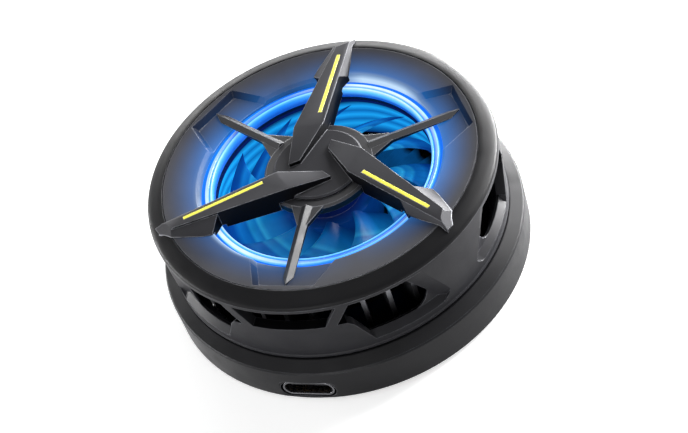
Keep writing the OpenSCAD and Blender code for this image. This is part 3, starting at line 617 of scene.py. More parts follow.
@dataclass(frozen=True)
class Matt(Finish):
    """Dull stone-like or rubber-like stuff: ceramic, foam, pad, magnet."""

    colour: Colour
    roughness: float = 0.7
    grain: float = 0.3
    depth: float = 0.02
    speck: float = 0.25

    def lay(self, board: Board) -> None:
        """Lays out the stuff: specks, pores and a dull face.

        Args:
            board: Board that it is laid out on.
        """
        fine = board.noise(self.grain, 4)
        dark = shaded(self.colour, 1 - self.speck)
        board.put(
            Base_Color=board.ramp(fine, [(0.35, dark), (0.65, self.colour)]),
            Roughness=board.clouds(2.5, 3, self.roughness - 0.08, self.roughness + 0.08),
            Normal=board.bump(fine, self.depth),
        )


@dataclass(frozen=True)
class LitGuide(Finish):
    """Clear guide with a fine bright inner line and a broad crown that shines where the light runs."""

    core: Colour = tint(236, 250, 255)
    line: Colour = tint(104, 206, 255)
    flank: Colour = tint(22, 128, 232)
    deep: Colour = tint(6, 52, 140)
    clear: Colour = tint(60, 130, 230)
    veil: Colour = tint(40, 100, 220)
    inner: float = 18.95
    outer: float = 20.35
    dim: float = 20.3
    bright: float = 21.3
    glow: float = 1.0

    def lay(self, board: Board) -> None:
        """Lays out the glow across the guide and round it.

        Args:
            board: Board that it is laid out on.
        """
        across = board.span(board.radius(), (self.inner, self.outer), (0.0, 1.0))
        low = board.ramp(across, [
            (0.0, self.flank), (0.12, self.line), (0.26, self.line), (0.38, self.deep),
            (0.74, self.deep), (0.86, self.line), (1.0, self.flank),
        ])
        high = board.ramp(across, [
            (0.0, self.line), (0.16, self.core), (0.3, self.line), (0.42, self.flank),
            (0.6, self.core), (0.9, self.core), (1.0, self.line),
        ])
        run = board.span(board.around(RING_SWEEP), (0.25, 1.0), (0.0, 1.0))
        rise = board.span(board.height(), (self.dim, self.bright), (0.0, 1.0))
        glow = board.mix(rise, self.deep, board.mix(run, low, high))
        ripple = board.clouds(2.2, 3, 0.0, 0.2)
        board.put(
            Base_Color=board.mix(ripple, self.clear, self.veil),
            Roughness=board.clouds(0.5, 3, 0.15, 0.3),
            Emission_Color=board.mix(ripple, glow, self.flank),
            Emission_Strength=self.glow,
            Normal=board.bump(board.noise(0.3, 2), 0.005),
        )


@dataclass(frozen=True)
class LitPlastic(Finish):
    """Tinted plastic with a painted glow: rings of colour and emission that stand in for the ring's light
    on the wheel, fainter towards its foot and weaker at some angles round the axis.
    """

    rings: tuple[tuple[float, Colour], ...]
    glow: float = 0.8
    roughness: float = 0.35
    flow: float = 0.35
    shade: Colour = tint(4, 20, 84)
    dim: float = 10.4
    bright: float = 15.0
    foot_share: float = 0.25
    gloss: float = 0.12
    sweep: tuple[Point, ...] = ((0, 0.7), (60, 1.0), (200, 1.0), (240, 0.6), (285, 0.35), (330, 0.5))

    def lay(self, board: Board) -> None:
        """Lays out the painted rings of light from the hub to the rim.

        Args:
            board: Board that it is laid out on.
        """
        inner, outer = self.rings[0][0], self.rings[-1][0]
        across = board.span(board.radius(), (inner, outer), (0.0, 1.0))
        shares = [((r - inner) / (outer - inner), colour) for r, colour in self.rings]
        body = board.ramp(across, shares)
        flow = board.span(board.noise(6, 2), (0.35, 0.75), (0.0, self.flow))
        tone = board.mix(flow, body, self.shade)
        rise = board.span(board.height(), (self.dim, self.bright), (self.foot_share * self.glow, self.glow))
        board.put(
            Base_Color=board.mix(board.clouds(3, 2, 0.55, 0.8), tone, self.shade),
            Roughness=board.clouds(1.5, 3, self.roughness - 0.06, self.roughness + 0.06),
            Specular_IOR_Level=self.gloss,
            Emission_Color=tone,
            Emission_Strength=board.math("MULTIPLY", rise, board.around(self.sweep)),
            Normal=board.bump(board.noise(0.25, 3), 0.004),
        )


@dataclass(frozen=True)
class LitDuct(Finish):
    """Dark duct with a painted glow inside: soft rings of colour and emission that stand in for the fan's
    light, and plain black outside.
    """

    low: Colour = tint(30, 170, 236)
    between: Colour = tint(12, 108, 176)
    high: Colour = tint(5, 22, 78)
    edge: Colour = tint(20, 104, 214)
    outside: Colour = tint(9, 9, 11)
    bottom: float = 10.0
    top: float = 18.0
    rim: float = 21.2
    bore: float = 20.3
    blend: float = 0.05
    glow: float = 0.85
    gloss: float = 0.15

    def lay(self, board: Board) -> None:
        """Lays out the painted glow from the foot of the duct to its top, in faint rings.

        Args:
            board: Board that it is laid out on.
        """
        sway = board.clouds(14, 1, -0.4, 0.4)
        level = board.span(board.math("ADD", board.height(), sway), (self.bottom, self.top), (0.0, 1.0))
        tone = board.ramp(level, [
            (0.0, self.high), (0.16, self.between), (0.3, self.low), (0.44, self.between),
            (0.56, self.low), (0.68, self.between), (0.8, self.low), (0.96, self.high),
        ])
        bore = board.span(board.radius(), (self.bore - self.blend, self.bore + self.blend), (1.0, 0.0))
        rim = board.span(board.height(), (self.rim - self.blend, self.rim + self.blend), (0.0, 1.0))
        inside = board.math("MAXIMUM", bore, rim)
        tone = board.mix(rim, tone, self.edge)
        board.put(
            Base_Color=board.mix(inside, self.outside, tone),
            Roughness=board.clouds(1.5, 3, 0.38, 0.5),
            Specular_IOR_Level=self.gloss,
            Emission_Color=tone,
            Emission_Strength=board.math("MULTIPLY", inside, self.glow),
            Normal=board.bump(board.noise(0.25, 3), 0.004),
        )


@dataclass(frozen=True)
class LitMetal(Metal):
    """Metal under the fan with painted light: a painted glow inside the duct that stands in for the fan's
    light, and painted shade down its fins.
    """

    # Colour, radii and strength of the painted glow that stands in for the fan's light
    spill: Colour = tint(10, 84, 150)
    inside: float = 18.2
    outside: float = 19.4
    glow: float = 0.7
    # Colour of the painted shade at the roots of the fins, and the heights over which it fades out
    black: Colour = tint(12, 12, 13)
    root: float = 9.0
    tip: float = 15.0

    def body(self, board: Board) -> bpy.types.NodeSocket:
        """Lays out the metal with painted shade: near black at the roots of the fins, fading to the bare
        metal at their tips.
        """
        rise = board.span(board.height(), (self.root, self.tip), (0.0, 1.0))
        return board.mix(rise, self.black, super().body(board))

    def lay(self, board: Board) -> None:
        """Lays out the metal, with a painted glow that stands in for the light of the fan on it.

        Args:
            board: Board that it is laid out on.
        """
        super().lay(board)
        near = board.span(board.radius(), (self.inside, self.outside), (self.glow, 0.0))
        cloud = board.clouds(5, 3, 0.5, 1.0)
        board.put(Emission_Color=self.spill, Emission_Strength=board.math("MULTIPLY", near, cloud))


class Finishes:
    """The finishes of the cooler, by what they are used for."""

    SHELL = MouldedPlastic("shell_plastic", tint(14, 14, 16), 0.4, gloss=0.09)
    # Near-black painted shade on the faces that look straight up, such as the sills inside the windows
    DRUM = PaintedShadePlastic(
        "drum_plastic", tint(32, 32, 35), 0.4, gloss=0.1, side=tint(4, 4, 5), steep=0.95, level=0.85
    )
    BASE = MouldedPlastic("base_plastic", tint(24, 24, 26), 0.36, gloss=0.1)
    # Dark blue painted shade on the steep walls, such as those of the pockets, and a painted glow beside
    # the ring
    DECK = HaloPlastic(
        "deck_plastic", tint(60, 60, 64), 0.44,
        edge_wear_and_highlight_share=0.9, edge_wear_and_highlight=tint(190, 192, 198), gloss=0.12, side=tint(14, 20, 36),
    )
    # Near-black painted shade on the walls of the arms
    GUARD = PaintedShadePlastic(
        "guard_plastic", tint(58, 58, 61), 0.55,
        edge_wear_and_highlight_share=0.9, edge_wear_and_highlight=tint(176, 178, 184), gloss=0.07, side=tint(4, 4, 6),
    )
    # Painted shade on the walls of the ribs
    RIBS = PaintedShadePlastic(
        "rib_plastic", tint(48, 48, 51), 0.34, edge_wear_and_highlight_share=0.9, edge_wear_and_highlight=tint(190, 192, 198), gloss=0.42
    )
    # Painted glow inside the duct
    DUCT = LitDuct("duct_plastic")
    STRIPE = MouldedPlastic(
        "stripe_lacquer", tint(250, 241, 88), 0.3,
        depth=0.003, ease=0.06, edge_wear_and_highlight=tint(255, 250, 150), coat=0.4,
    )
    MOTOR = MouldedPlastic("motor_plastic", tint(24, 24, 27), 0.45)
    TONGUE = MouldedPlastic("tongue_plastic", tint(18, 18, 20), 0.45)
    # Painted shade down the fins and a painted glow under the fan
    SINK = LitMetal("sink_alloy", tint(128, 129, 134), 0.45, (1, 1, 0.15))
    PLATE = Metal("cold_plate_alloy", tint(205, 207, 210), 0.3, (0.1, 1, 1))
    STEEL = Metal("plated_steel", tint(176, 176, 180), 0.28)
    DARK_STEEL = Metal("blackened_steel", tint(70, 71, 75), 0.3)
    BRONZE = Metal("sintered_bronze", tint(168, 118, 66), 0.45, depth=0.01)
    GOLD = Metal("gold_plate", tint(230, 180, 84), 0.22)
    SOCKET = Metal("socket_nickel", tint(112, 112, 116), 0.28, depth=0.001)
    COPPER = WoundWire("copper_winding", tint(196, 104, 52))
    BOARD = Laminate("board_lacquer", tint(20, 74, 48), tint(60, 128, 84))
    LAMP_BOARD = Laminate("lamp_board_lacquer", tint(8, 24, 72), tint(10, 30, 84))
    CERAMIC = Matt("white_ceramic", tint(226, 224, 216), 0.55, 0.2, 0.006, 0.06)
    PELLET = Matt("pellet_alloy", tint(120, 118, 122), 0.4, 0.15, 0.01, 0.3)
    FOAM = Matt("black_foam", tint(34, 34, 36), 0.9, 0.35, 0.08, 0.5)
    PAD = Matt("grey_silicone", tint(58, 60, 64), 0.6, 0.2, 0.01, 0.15)
    FERRITE = Matt("dark_ferrite", tint(44, 43, 45), 0.5, 0.12, 0.01, 0.25)
    MAGNET = Metal("nickel_magnet", tint(188, 186, 182), 0.2)
    WASHER = Matt("washer_polymer", tint(210, 200, 170), 0.4, 0.2, 0.004, 0.08)
    LEAD = Matt("lead_sleeve", tint(150, 28, 26), 0.45, 0.4, 0.006, 0.12)
    FAN_LEAD = Matt("fan_lead_sleeve", tint(30, 30, 32), 0.45, 0.4, 0.006, 0.12)
    GUIDE = LitGuide("lit_guide")
    LAMP = LitGuide("lamp_lens", inner=18.0, outer=21.0)
    # Painted glow in rings on the wheel
    WHEEL = LitPlastic(
        "lit_wheel",
        (
            (6.0, tint(4, 26, 80)), (8.4, tint(6, 70, 140)), (10.6, tint(14, 120, 195)),
            (12.2, tint(24, 140, 210)), (13.0, tint(50, 180, 235)), (13.5, tint(20, 130, 205)),
            (14.6, tint(34, 156, 222)), (15.1, tint(12, 108, 190)), (16.4, tint(20, 124, 205)),
            (17.4, tint(8, 80, 165)), (19.2, tint(4, 50, 125)),
        ),
    )


# Mesh tools


class Easing(Enum):
    """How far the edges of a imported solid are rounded, in millimetres."""

    NONE = 0.0
    FINE = 0.05
    MOULDED = 0.12


@dataclass(frozen=True)
class Extent:
    """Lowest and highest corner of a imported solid, in millimetres."""

    low: Vector
    high: Vector

    @classmethod
    def of(cls, node: str) -> "Extent":
        """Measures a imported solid."""
        low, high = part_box(node)
        return cls(Vector(low) / MM, Vector(high) / MM)

    @property
    def middle(self) -> Vector:
        """Gives the middle of the solid."""
        return (self.low + self.high) / 2

    @property
    def size(self) -> Vector:
        """Gives the width, length and height of the solid."""
        return self.high - self.low


def dress(node: str, finish: Finish, easing: Easing = Easing.NONE) -> None:
    """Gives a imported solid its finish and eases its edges.

    Args:
        node: Name of the solid.
        finish: Finish that it gets.
        easing: How far its edges are rounded.
    """
    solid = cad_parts[node]
    material = finish.material()
    if not solid.material_slots:
        solid.data.materials.append(material)
    for slot in solid.material_slots:
        slot.link = "OBJECT"
        slot.material = material
    if easing is not Easing.NONE:
        weld = solid.modifiers.new("joined", "WELD")
        weld.merge_threshold = WELD_GAP * MM
        flat = solid.modifiers.new("flats", "DECIMATE")
        flat.decimate_type = "DISSOLVE"
        flat.angle_limit = FLAT_ANGLE
        edge = solid.modifiers.new("eased", "BEVEL")
        edge.width = easing.value * MM
        edge.segments = 2
        edge.limit_method = "ANGLE"
        edge.angle_limit = EASED_ANGLE
        edge.harden_normals = False
        normal = solid.modifiers.new("shading", "WEIGHTED_NORMAL")
        normal.keep_sharp = False
    log.info("dressed %s in %s", node, finish.name)


def piece(
    name: str, shape: bmesh.types.BMesh, finish: Finish, body: str, stands_for: Sequence[str] = ()
) -> None:
    """Makes a piece of the object from a mesh.

    Args:
        name: Name of the piece.
        shape: Its mesh, which is used up.
        finish: Its finish.
        body: Body that it moves with.
        stands_for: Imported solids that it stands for.
    """
    bmesh.ops.recalc_face_normals(shape, faces=shape.faces)
    mesh = bpy.data.meshes.new(name)
    shape.to_mesh(mesh)
    shape.free()
    mesh.polygons.foreach_set("use_smooth", [True] * len(mesh.polygons))
    mesh.set_sharp_from_angle(angle=SHARP_EDGE)
    mesh.materials.append(finish.material())
    made = bpy.data.objects.new(name, mesh)
    bpy.context.scene.collection.objects.link(made)
    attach(made, body)
    if stands_for:
        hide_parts(*stands_for)
    log.info("made %s in %s", name, finish.name)


def rounded(corners: Sequence[Point], radius: float, steps: int = 4) -> list[Point]:
    """Rounds the corners of a closed outline.

    Args:
        corners: Corners of the outline in millimetres.
        radius: Radius of the rounding, less where the sides are short.
        steps: Number of steps round a corner.

    Returns:
        The rounded outline.
    """
    outline: list[Point] = []
    count = len(corners)
    for i in range(count):
        here = Vector(corners[i])
        back = Vector(corners[i - 1]) - here
        on = Vector(corners[(i + 1) % count]) - here
        reach = min(radius, back.length * CORNER_SHARE, on.length * CORNER_SHARE)
        start, end = here + back.normalized() * reach, here + on.normalized() * reach
        for k in range(steps + 1):
            t = k / steps
            outline.append(tuple(start * (1 - t) ** 2 + here * 2 * t * (1 - t) + end * t ** 2))
    return outline


def turn(shape: bmesh.types.BMesh, outline: Sequence[Point], steps: int = 192) -> None:
    """Turns a closed outline round the axis into a ring.

    Args:
        shape: Mesh that the ring is added to.
        outline: Radius and height of each point in millimetres.
        steps: Number of steps round the axis.
    """
    rings = []
    around = [2 * math.pi * k / steps for k in range(steps)]
    for r, z in outline:
        if r < TINY:
            rings.append([shape.verts.new((0, 0, z * MM))] * steps)
        else:
            places = [(r * math.cos(a) * MM, r * math.sin(a) * MM, z * MM) for a in around]
            rings.append([shape.verts.new(place) for place in places])
    for i, ring in enumerate(rings):
        other = rings[(i + 1) % len(rings)]
        for k in range(steps):
            corners = [ring[k], ring[(k + 1) % steps], other[(k + 1) % steps], other[k]]
            corners = [v for j, v in enumerate(corners) if v not in corners[:j]]
            if len(corners) > 2:
                shape.faces.new(corners)


def strip(
    shape: bmesh.types.BMesh, centre: Vector, size: Vector, slope: float, straight: float = 0.4
) -> None:
    """Adds a flat strip whose sides slope in towards its face.

    Args:
        shape: Mesh that the strip is added to.
        centre: Middle of its back, in millimetres.
        size: Width, length and height, which is below zero for a face that looks down.
        slope: How far the sides slope in.
        straight: Share of the height below the slope.
    """
    rings = []
    for inset, z in ((0.0, 0.0), (0.0, size.z * straight), (slope, size.z)):
        half_x, half_y = size.x / 2 - inset, size.y / 2 - inset
        corners = ((-half_x, -half_y), (half_x, -half_y), (half_x, half_y), (-half_x, half_y))
        rings.append([shape.verts.new((centre + Vector((x, y, z))) * MM) for x, y in corners])
    for low, high in zip(rings, rings[1:]):
        for k in range(4):
            shape.faces.new([low[k], low[(k + 1) % 4], high[(k + 1) % 4], high[k]])
    shape.faces.new(rings[0])
    shape.faces.new(rings[-1])


def loop_of_wire(shape: bmesh.types.BMesh, path: Sequence[Vector], radius: float, sides: int = 8) -> None:
    """Adds a closed loop of round wire.

    Args:
        shape: Mesh that the loop is added to.
        path: Middle line of the wire in millimetres.
        radius: Radius of the wire.
        sides: Number of sides of its section.
    """
    normal = (path[1] - path[0]).cross(path[2] - path[1])
    for k in range(3, len(path)):
        if normal.length > TINY:
            break
        normal = (path[1] - path[0]).cross(path[k] - path[k - 1])
    normal.normalize()
    rings = []
    turns = [2 * math.pi * j / sides for j in range(sides)]
    for k, here in enumerate(path):
        along = (path[(k + 1) % len(path)] - path[k - 1]).normalized()
        out = along.cross(normal)
        places = [here + out * math.cos(a) * radius + normal * math.sin(a) * radius for a in turns]
        rings.append([shape.verts.new(place * MM) for place in places])
    for k, ring in enumerate(rings):
        following = rings[(k + 1) % len(rings)]
        for j in range(sides):
            shape.faces.new([ring[j], ring[(j + 1) % sides], following[(j + 1) % sides], following[j]])


# Sub-assemblies


@dataclass
class OuterCase:
    """Base, drum, shoulder ring and deck of the case. Sizes are in millimetres."""

    wall: float = 2.2
    deck_gap: float = 0.1
    edge_t: float = 1.3
    ledge_w: float = 1.7
    spigot_w: float = 1.05
    spigot_gap: float = 0.05

    def shoulder(self) -> None:
        """Turns the rounded shoulder ring with a smooth crown."""
        rim = Extent.of("top_rim")
        drum_r, foot_z, deck_z = rim.high.x, rim.low.z, rim.high.z
        deck_r = Extent.of("deck_plate").high.x + self.deck_gap
        rim_z = Extent.of("vent_drum").high.z
        ledge_r, ledge_z = deck_r - self.ledge_w, deck_z - self.edge_t
        spigot_r = drum_r - self.wall - self.spigot_gap
        crown = [(0, 0), (0.02, 0.22), (0.1, 0.42), (0.34, 0.66), (0.7, 0.9), (0.9, 0.985), (1, 1)]
        wide, high = drum_r - deck_r, deck_z - rim_z
        smooth = self.smooth([(drum_r - x * wide, rim_z + y * high) for x, y in crown])
        seat = [
            (deck_r, ledge_z),
            (ledge_r, ledge_z),
            (ledge_r, rim_z),
            (spigot_r - self.spigot_w, rim_z),
            (spigot_r - self.spigot_w, foot_z),
            (spigot_r, foot_z),
            (spigot_r, rim_z),
        ]
        shape = bmesh.new()
        turn(shape, smooth + seat, steps=256)
        piece("shoulder_ring", shape, Finishes.SHELL, "housing", ["top_rim"])

    @staticmethod
    def smooth(points: Sequence[Point], steps: int = 5) -> list[Point]:
        """Draws a smooth curve through points.

        Args:
            points: Points that the curve passes.
            steps: Number of steps between two points.

        Returns:
            Points along the curve.
        """
        curve: list[Point] = []
        for i in range(len(points) - 1):
            a = Vector(points[max(i - 1, 0)])
            b, c = Vector(points[i]), Vector(points[i + 1])
            d = Vector(points[min(i + 2, len(points) - 1)])
            bend, twist = 2 * a - 5 * b + 4 * c - d, 3 * b - a - 3 * c + d
            for k in range(steps):
                t = k / steps
                curve.append(tuple(0.5 * (2 * b + (c - a) * t + bend * t ** 2 + twist * t ** 3)))
        return curve + [tuple(points[-1])]

    def build(self) -> None:
        """Builds and dresses the case."""
        self.shoulder()
        dress("base_shell", Finishes.BASE)
        dress("vent_drum", Finishes.DRUM, Easing.MOULDED)
        dress("deck_plate", Finishes.DECK, Easing.FINE)
        dress("case_screws", Finishes.DARK_STEEL, Easing.FINE)


@dataclass
class Guard:
    """Ribs, three-armed guard and stripes over the opening."""

    rib_edge: Easing = Easing.MOULDED
    arm_edge: Easing = Easing.MOULDED
    stripe_edge: Easing = Easing.FINE

    def build(self) -> None:
        """Dresses the guard."""
        dress("rib_frame", Finishes.RIBS, self.rib_edge)
        dress("blade_cover", Finishes.GUARD, self.arm_edge)
        dress("arm_stripes", Finishes.STRIPE, self.stripe_edge)


@dataclass
class LightSet:
    """Lit ring round the opening, its lamps and the duct that carries them. Sizes are in millimetres."""

    wide: float = 1.4
    skirt_h: float = 0.62
    skirt_t: float = 0.12

    def guide(self) -> None:
        """Turns the clear guide with one broad and one fine crown, and a skirt in front of the lamps."""
        ring = Extent.of("light_ring")
        outer, foot, crown = ring.high.x, ring.low.z, ring.high.z
        inner, skirt = outer - self.wide, foot - self.skirt_h
        top = [
            (1.0, -0.6), (0.98, -0.3), (0.9, -0.1), (0.75, 0.0), (0.6, -0.02), (0.48, -0.14),
            (0.42, -0.3), (0.36, -0.16), (0.28, -0.04), (0.18, -0.04), (0.08, -0.18), (0.0, -0.5),
        ]
        behind = inner + self.skirt_t
        outline = [(inner, skirt), (behind, skirt), (behind, foot), (outer, foot)]
        outline += OuterCase.smooth([(inner + x * self.wide, crown + z) for x, z in top], steps=3)
        shape = bmesh.new()
        turn(shape, outline, steps=256)
        piece("light_guide", shape, Finishes.GUIDE, "housing", ["light_ring"])

    def build(self) -> None:
        """Builds and dresses the lights."""
        self.guide()
        dress("leds", Finishes.LAMP)
        dress("led_board", Finishes.LAMP_BOARD)
        dress("fan_throat", Finishes.DUCT)


@dataclass
class Fan:
    """Bladed wheel and the parts that turn with it. Sizes are in millimetres."""

    blades: int = 11
    tip_r: float = 19.2
    rise: float = 0.5
    wall: float = 0.85
    wall_gap: float = 0.05
    roof_t: float = 0.8
    dish_w: float = 2.6
    dish_t: float = 0.2
    dish_slope: float = 0.4
    edge: float = 0.4
    sunk: float = 0.3
    thick: float = 1.1
    thinnest: float = 0.12
    end_power: int = 14
    tip_power: int = 30
    sweep: float = 30
    sweep_power: float = 1.2
    twist: float = 44
    rows: int = 14
    columns: int = 16
    wheel: Extent = field(default_factory=lambda: Extent.of("fan_impeller"))
    yoke: Extent = field(default_factory=lambda: Extent.of("rotor_yoke"))

    @property
    def hub_r(self) -> float:
        """Gives the radius of the hub, which fits over the yoke."""
        return self.yoke.high.x + self.wall_gap + self.wall

    def hub(self, shape: bmesh.types.BMesh) -> None:
        """Turns the cup of the hub, with a shallow dish in its roof.

        Args:
            shape: Mesh that the hub is added to.
        """
        skirt, roof = self.wheel.low.z, self.yoke.high.z
        crown = roof + self.roof_t
        dish = crown - self.dish_t
        cup = [
            (self.hub_r - self.wall, roof),
            (self.hub_r - self.wall, skirt),
            (self.hub_r, skirt),
            (self.hub_r, crown),
            (self.hub_r - self.dish_w + self.dish_slope, crown),
            (self.hub_r - self.dish_w, dish),
        ]
        outline = [(0, roof)] + rounded(cup, self.edge)[3:-2] + [(0, dish)]
        turn(shape, outline, steps=96)

    def blade(self, shape: bmesh.types.BMesh, number: int) -> None:
        """Lofts one swept and twisted blade with rounded edges.

        Args:
            shape: Mesh that the blade is added to.
            number: Number of the blade.
        """
        rows, columns = self.rows, self.columns
        start = 2 * math.pi * number / self.blades
        sweep, twist = math.radians(self.sweep), math.radians(self.twist)
        inner = self.hub_r - self.sunk
        low, high = self.wheel.low.z + self.rise, self.wheel.high.z
        grid: list[list[list[bmesh.types.BMVert]]] = []
        for k in range(rows + 1):
            level = 0.5 - 0.5 * math.cos(math.pi * k / rows)
            z = low + (high - low) * level
            ease_z = math.sqrt(max(0.0, 1 - abs(2 * level - 1) ** self.end_power))
            row = []
            for i in range(columns + 1):
                t = i / columns
                r = inner + (self.tip_r - inner) * t
                ease_r = math.sqrt(max(0.0, 1 - t ** self.tip_power))
                half = self.thick / 2 / r * max(self.thinnest, ease_z * ease_r)
                middle = start - sweep * t ** self.sweep_power - twist * level
                sides = (middle - half, middle + half)
                places = [Vector((r * math.cos(a), r * math.sin(a), z)) * MM for a in sides]
                row.append([shape.verts.new(place) for place in places])
            grid.append(row)
        for below, above in zip(grid, grid[1:]):
            for i in range(columns):
                for s in (0, 1):
                    shape.faces.new([below[i][s], below[i + 1][s], above[i + 1][s], above[i][s]])
            for i in (0, columns):
                shape.faces.new([below[i][0], below[i][1], above[i][1], above[i][0]])
        for i in range(columns):
            for row in (grid[0], grid[rows]):
                shape.faces.new([row[i][0], row[i + 1][0], row[i + 1][1], row[i][1]])

    def build(self) -> None:
        """Builds and dresses the fan."""
        shape = bmesh.new()
        self.hub(shape)
        for number in range(self.blades):
            self.blade(shape, number)
        piece("bladed_wheel", shape, Finishes.WHEEL, "rotor", ["fan_impeller"])
        dress("rotor_yoke", Finishes.STEEL)
        dress("rotor_magnet", Finishes.FERRITE)
        dress("fan_shaft", Finishes.STEEL)
        dress("shaft_clip", Finishes.WASHER)


@dataclass
class Motor:
    """Parts of the motor that stand still. Sizes are in millimetres."""

    poles: int = 6
    coil_len: float = 1.2
    bobbin_y: float = 0.47
    bobbin_play: float = 0.02
    bobbin_edge: float = 0.1
    wire_r: float = 0.115
    layers: int = 2

    def windings(self) -> None:
        """Winds the coils, turn by turn, round the poles."""
        shape = bmesh.new()
        core = Extent.of("stator_core")
        bobbin_z = core.size.z / 2 + self.bobbin_play
        coil_in = Extent.of("stator_coils").high.x - self.coil_len
        turns = int(self.coil_len / (2 * self.wire_r))
        for pole in range(self.poles):
            spin = Matrix.Rotation(2 * math.pi * pole / self.poles, 3, "Z")
            for layer in range(self.layers):
                out = self.wire_r * (2 * layer + 1)
                half_y, half_z = self.bobbin_y + out, bobbin_z + out
                corners = [(-half_y, -half_z), (half_y, -half_z), (half_y, half_z), (-half_y, half_z)]
                section = rounded(corners, self.bobbin_edge + out, steps=3)
                for number in range(turns):
                    x = coil_in + self.wire_r * (2 * number + 1)
                    path = [spin @ Vector((x, y, core.middle.z + z)) for y, z in section]
                    loop_of_wire(shape, path, self.wire_r)
        piece("coil_turns", shape, Finishes.COPPER, "housing", ["stator_coils"])

    def build(self) -> None:
        """Builds and dresses the motor."""
        self.windings()
        dress("motor_base", Finishes.MOTOR)
        dress("motor_board", Finishes.BOARD)
        dress("thrust_washer", Finishes.WASHER)
        dress("bearing_sleeve", Finishes.BRONZE)
        dress("stator_core", Finishes.DARK_STEEL)
        dress("fan_leads", Finishes.FAN_LEAD)


@dataclass
class CoolingStack:
    """Pad, cold plate, thermoelectric module and heatsink. Sizes are in millimetres."""

    edge: float = 0.15
    edge_cut: float = 0.3
    groove_w: float = 0.5
    groove_t: float = 0.14
    groove_foot: float = 0.6
    grooves: tuple[float, ...] = (17.2, 13.6, 10.0, 6.4, 2.8)

    def pad(self) -> None:
        """Turns the soft pad with a rounded edge and ring grooves in the face that lies on the phone."""
        top = Extent.of("contact_pad").high
        outline = [(0.0, top.z), (top.x, top.z), (top.x, self.edge)]
        cut = self.edge * self.edge_cut
        outline += [(top.x - cut, cut), (top.x - self.edge, 0.0)]
        half = self.groove_w / 2
        foot = half * self.groove_foot
        groove = [(half, 0.0), (foot, self.groove_t), (-foot, self.groove_t), (-half, 0.0)]
        for r in self.grooves:
            outline += [(r + x, z) for x, z in groove]
        shape = bmesh.new()
        turn(shape, outline + [(0.0, 0.0)], steps=160)
        piece("grooved_pad", shape, Finishes.PAD, "housing", ["contact_pad"])

    def build(self) -> None:
        """Builds and dresses the stack."""
        self.pad()
        dress("cold_plate", Finishes.PLATE)
        dress("peltier_cold_face", Finishes.CERAMIC)
        dress("peltier_pellets", Finishes.PELLET)
        dress("peltier_hot_face", Finishes.CERAMIC)
        dress("foam_gasket", Finishes.FOAM)
        dress("tec_leads", Finishes.LEAD)
        dress("heatsink", Finishes.SINK)
        dress("clamp_screws", Finishes.STEEL)


@dataclass
class SeatAndSupply:
    """Magnets, control board and supply inlet. Sizes are in millimetres."""

    contacts: int = 12
    pitch: float = 0.5
    contact: Vector = field(default_factory=lambda: Vector((0.26, 3.3, 0.05)))
    slope: float = 0.03
    set_back: float = 0.15

    def contact_strips(self) -> None:
        """Lays the gold contacts on both faces of the tongue."""
        shape = bmesh.new()
        tongue = Extent.of("usb_tongue")
        y = tongue.low.y + self.set_back + self.contact.y / 2
        for side, z in ((-1, tongue.low.z), (1, tongue.high.z)):
            size = Vector((self.contact.x, self.contact.y, side * self.contact.z))
            for number in range(self.contacts):
                x = (number - (self.contacts - 1) / 2) * self.pitch
                strip(shape, Vector((x, y, z)), size, self.slope)
        piece("inlet_contacts", shape, Finishes.GOLD, "housing")

    def build(self) -> None:
        """Builds and dresses the magnets and the inlet."""
        self.contact_strips()
        dress("magnets", Finishes.MAGNET)
        dress("magnet_shunt", Finishes.STEEL)
        dress("control_board", Finishes.BOARD)
        dress("usb_shell", Finishes.SOCKET)
        dress("usb_tongue", Finishes.TONGUE)


# Studio

# Direction of the camera round the axis, in degrees from -Y
CAMERA_TURN = 27.7


@dataclass
class Viewpoint:
    """Camera that sees the cooler as the photograph does.

    The picture's size, the focal length and the target are in pixels, angles in radians, the
    sensor's width in millimetres, and the other lengths in metres.
    """

    wide: int = 688
    high: int = 433
    focal: float = 2000.0
    elevation: float = 0.771325
    roll: float = -0.362507
    distance: float = 0.3342
    target: Point = (317.746, 162.650)
    azimuth: float = math.radians(CAMERA_TURN)
    sensor: float = 36.0
    nearest: float = 0.01
    farthest: float = 20.0

    def build(self) -> None:
        """Places the camera."""
        cos, sin = math.cos, math.sin
        ahead = Vector((0, cos(self.elevation), -sin(self.elevation)))
        level = Vector((1, 0, 0))
        rise = level.cross(ahead)
        right = cos(self.roll) * level + sin(self.roll) * rise
        up = -sin(self.roll) * level + cos(self.roll) * rise
        off_x, off_y = self.target[0] - self.wide / 2, self.target[1] - self.high / 2
        toward = Vector((off_x / self.focal, off_y / self.focal, 1)).normalized()
        swing = Vector((0, 0, 1)).rotation_difference(toward).to_matrix()
        world_to_lens = swing @ Matrix((right, -up, ahead))
        away = -(world_to_lens.transposed() @ (toward * self.distance))
        axes = Matrix((world_to_lens[0], -world_to_lens[1], -world_to_lens[2])).transposed()
        about = Matrix.Rotation(self.azimuth, 4, "Z")
        deck = Vector((0, 0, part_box("top_rim")[1][2]))
        lens = bpy.data.cameras.new("camera")
        lens.sensor_width = self.sensor
        lens.lens = self.sensor * self.focal / self.wide
        lens.clip_start = self.nearest
        lens.clip_end = self.farthest
        camera = bpy.data.objects.new("camera", lens)
        bpy.context.scene.collection.objects.link(camera)
        camera.matrix_world = about @ Matrix.Translation(away + deck) @ axes.to_4x4()
        bpy.context.scene.camera = camera


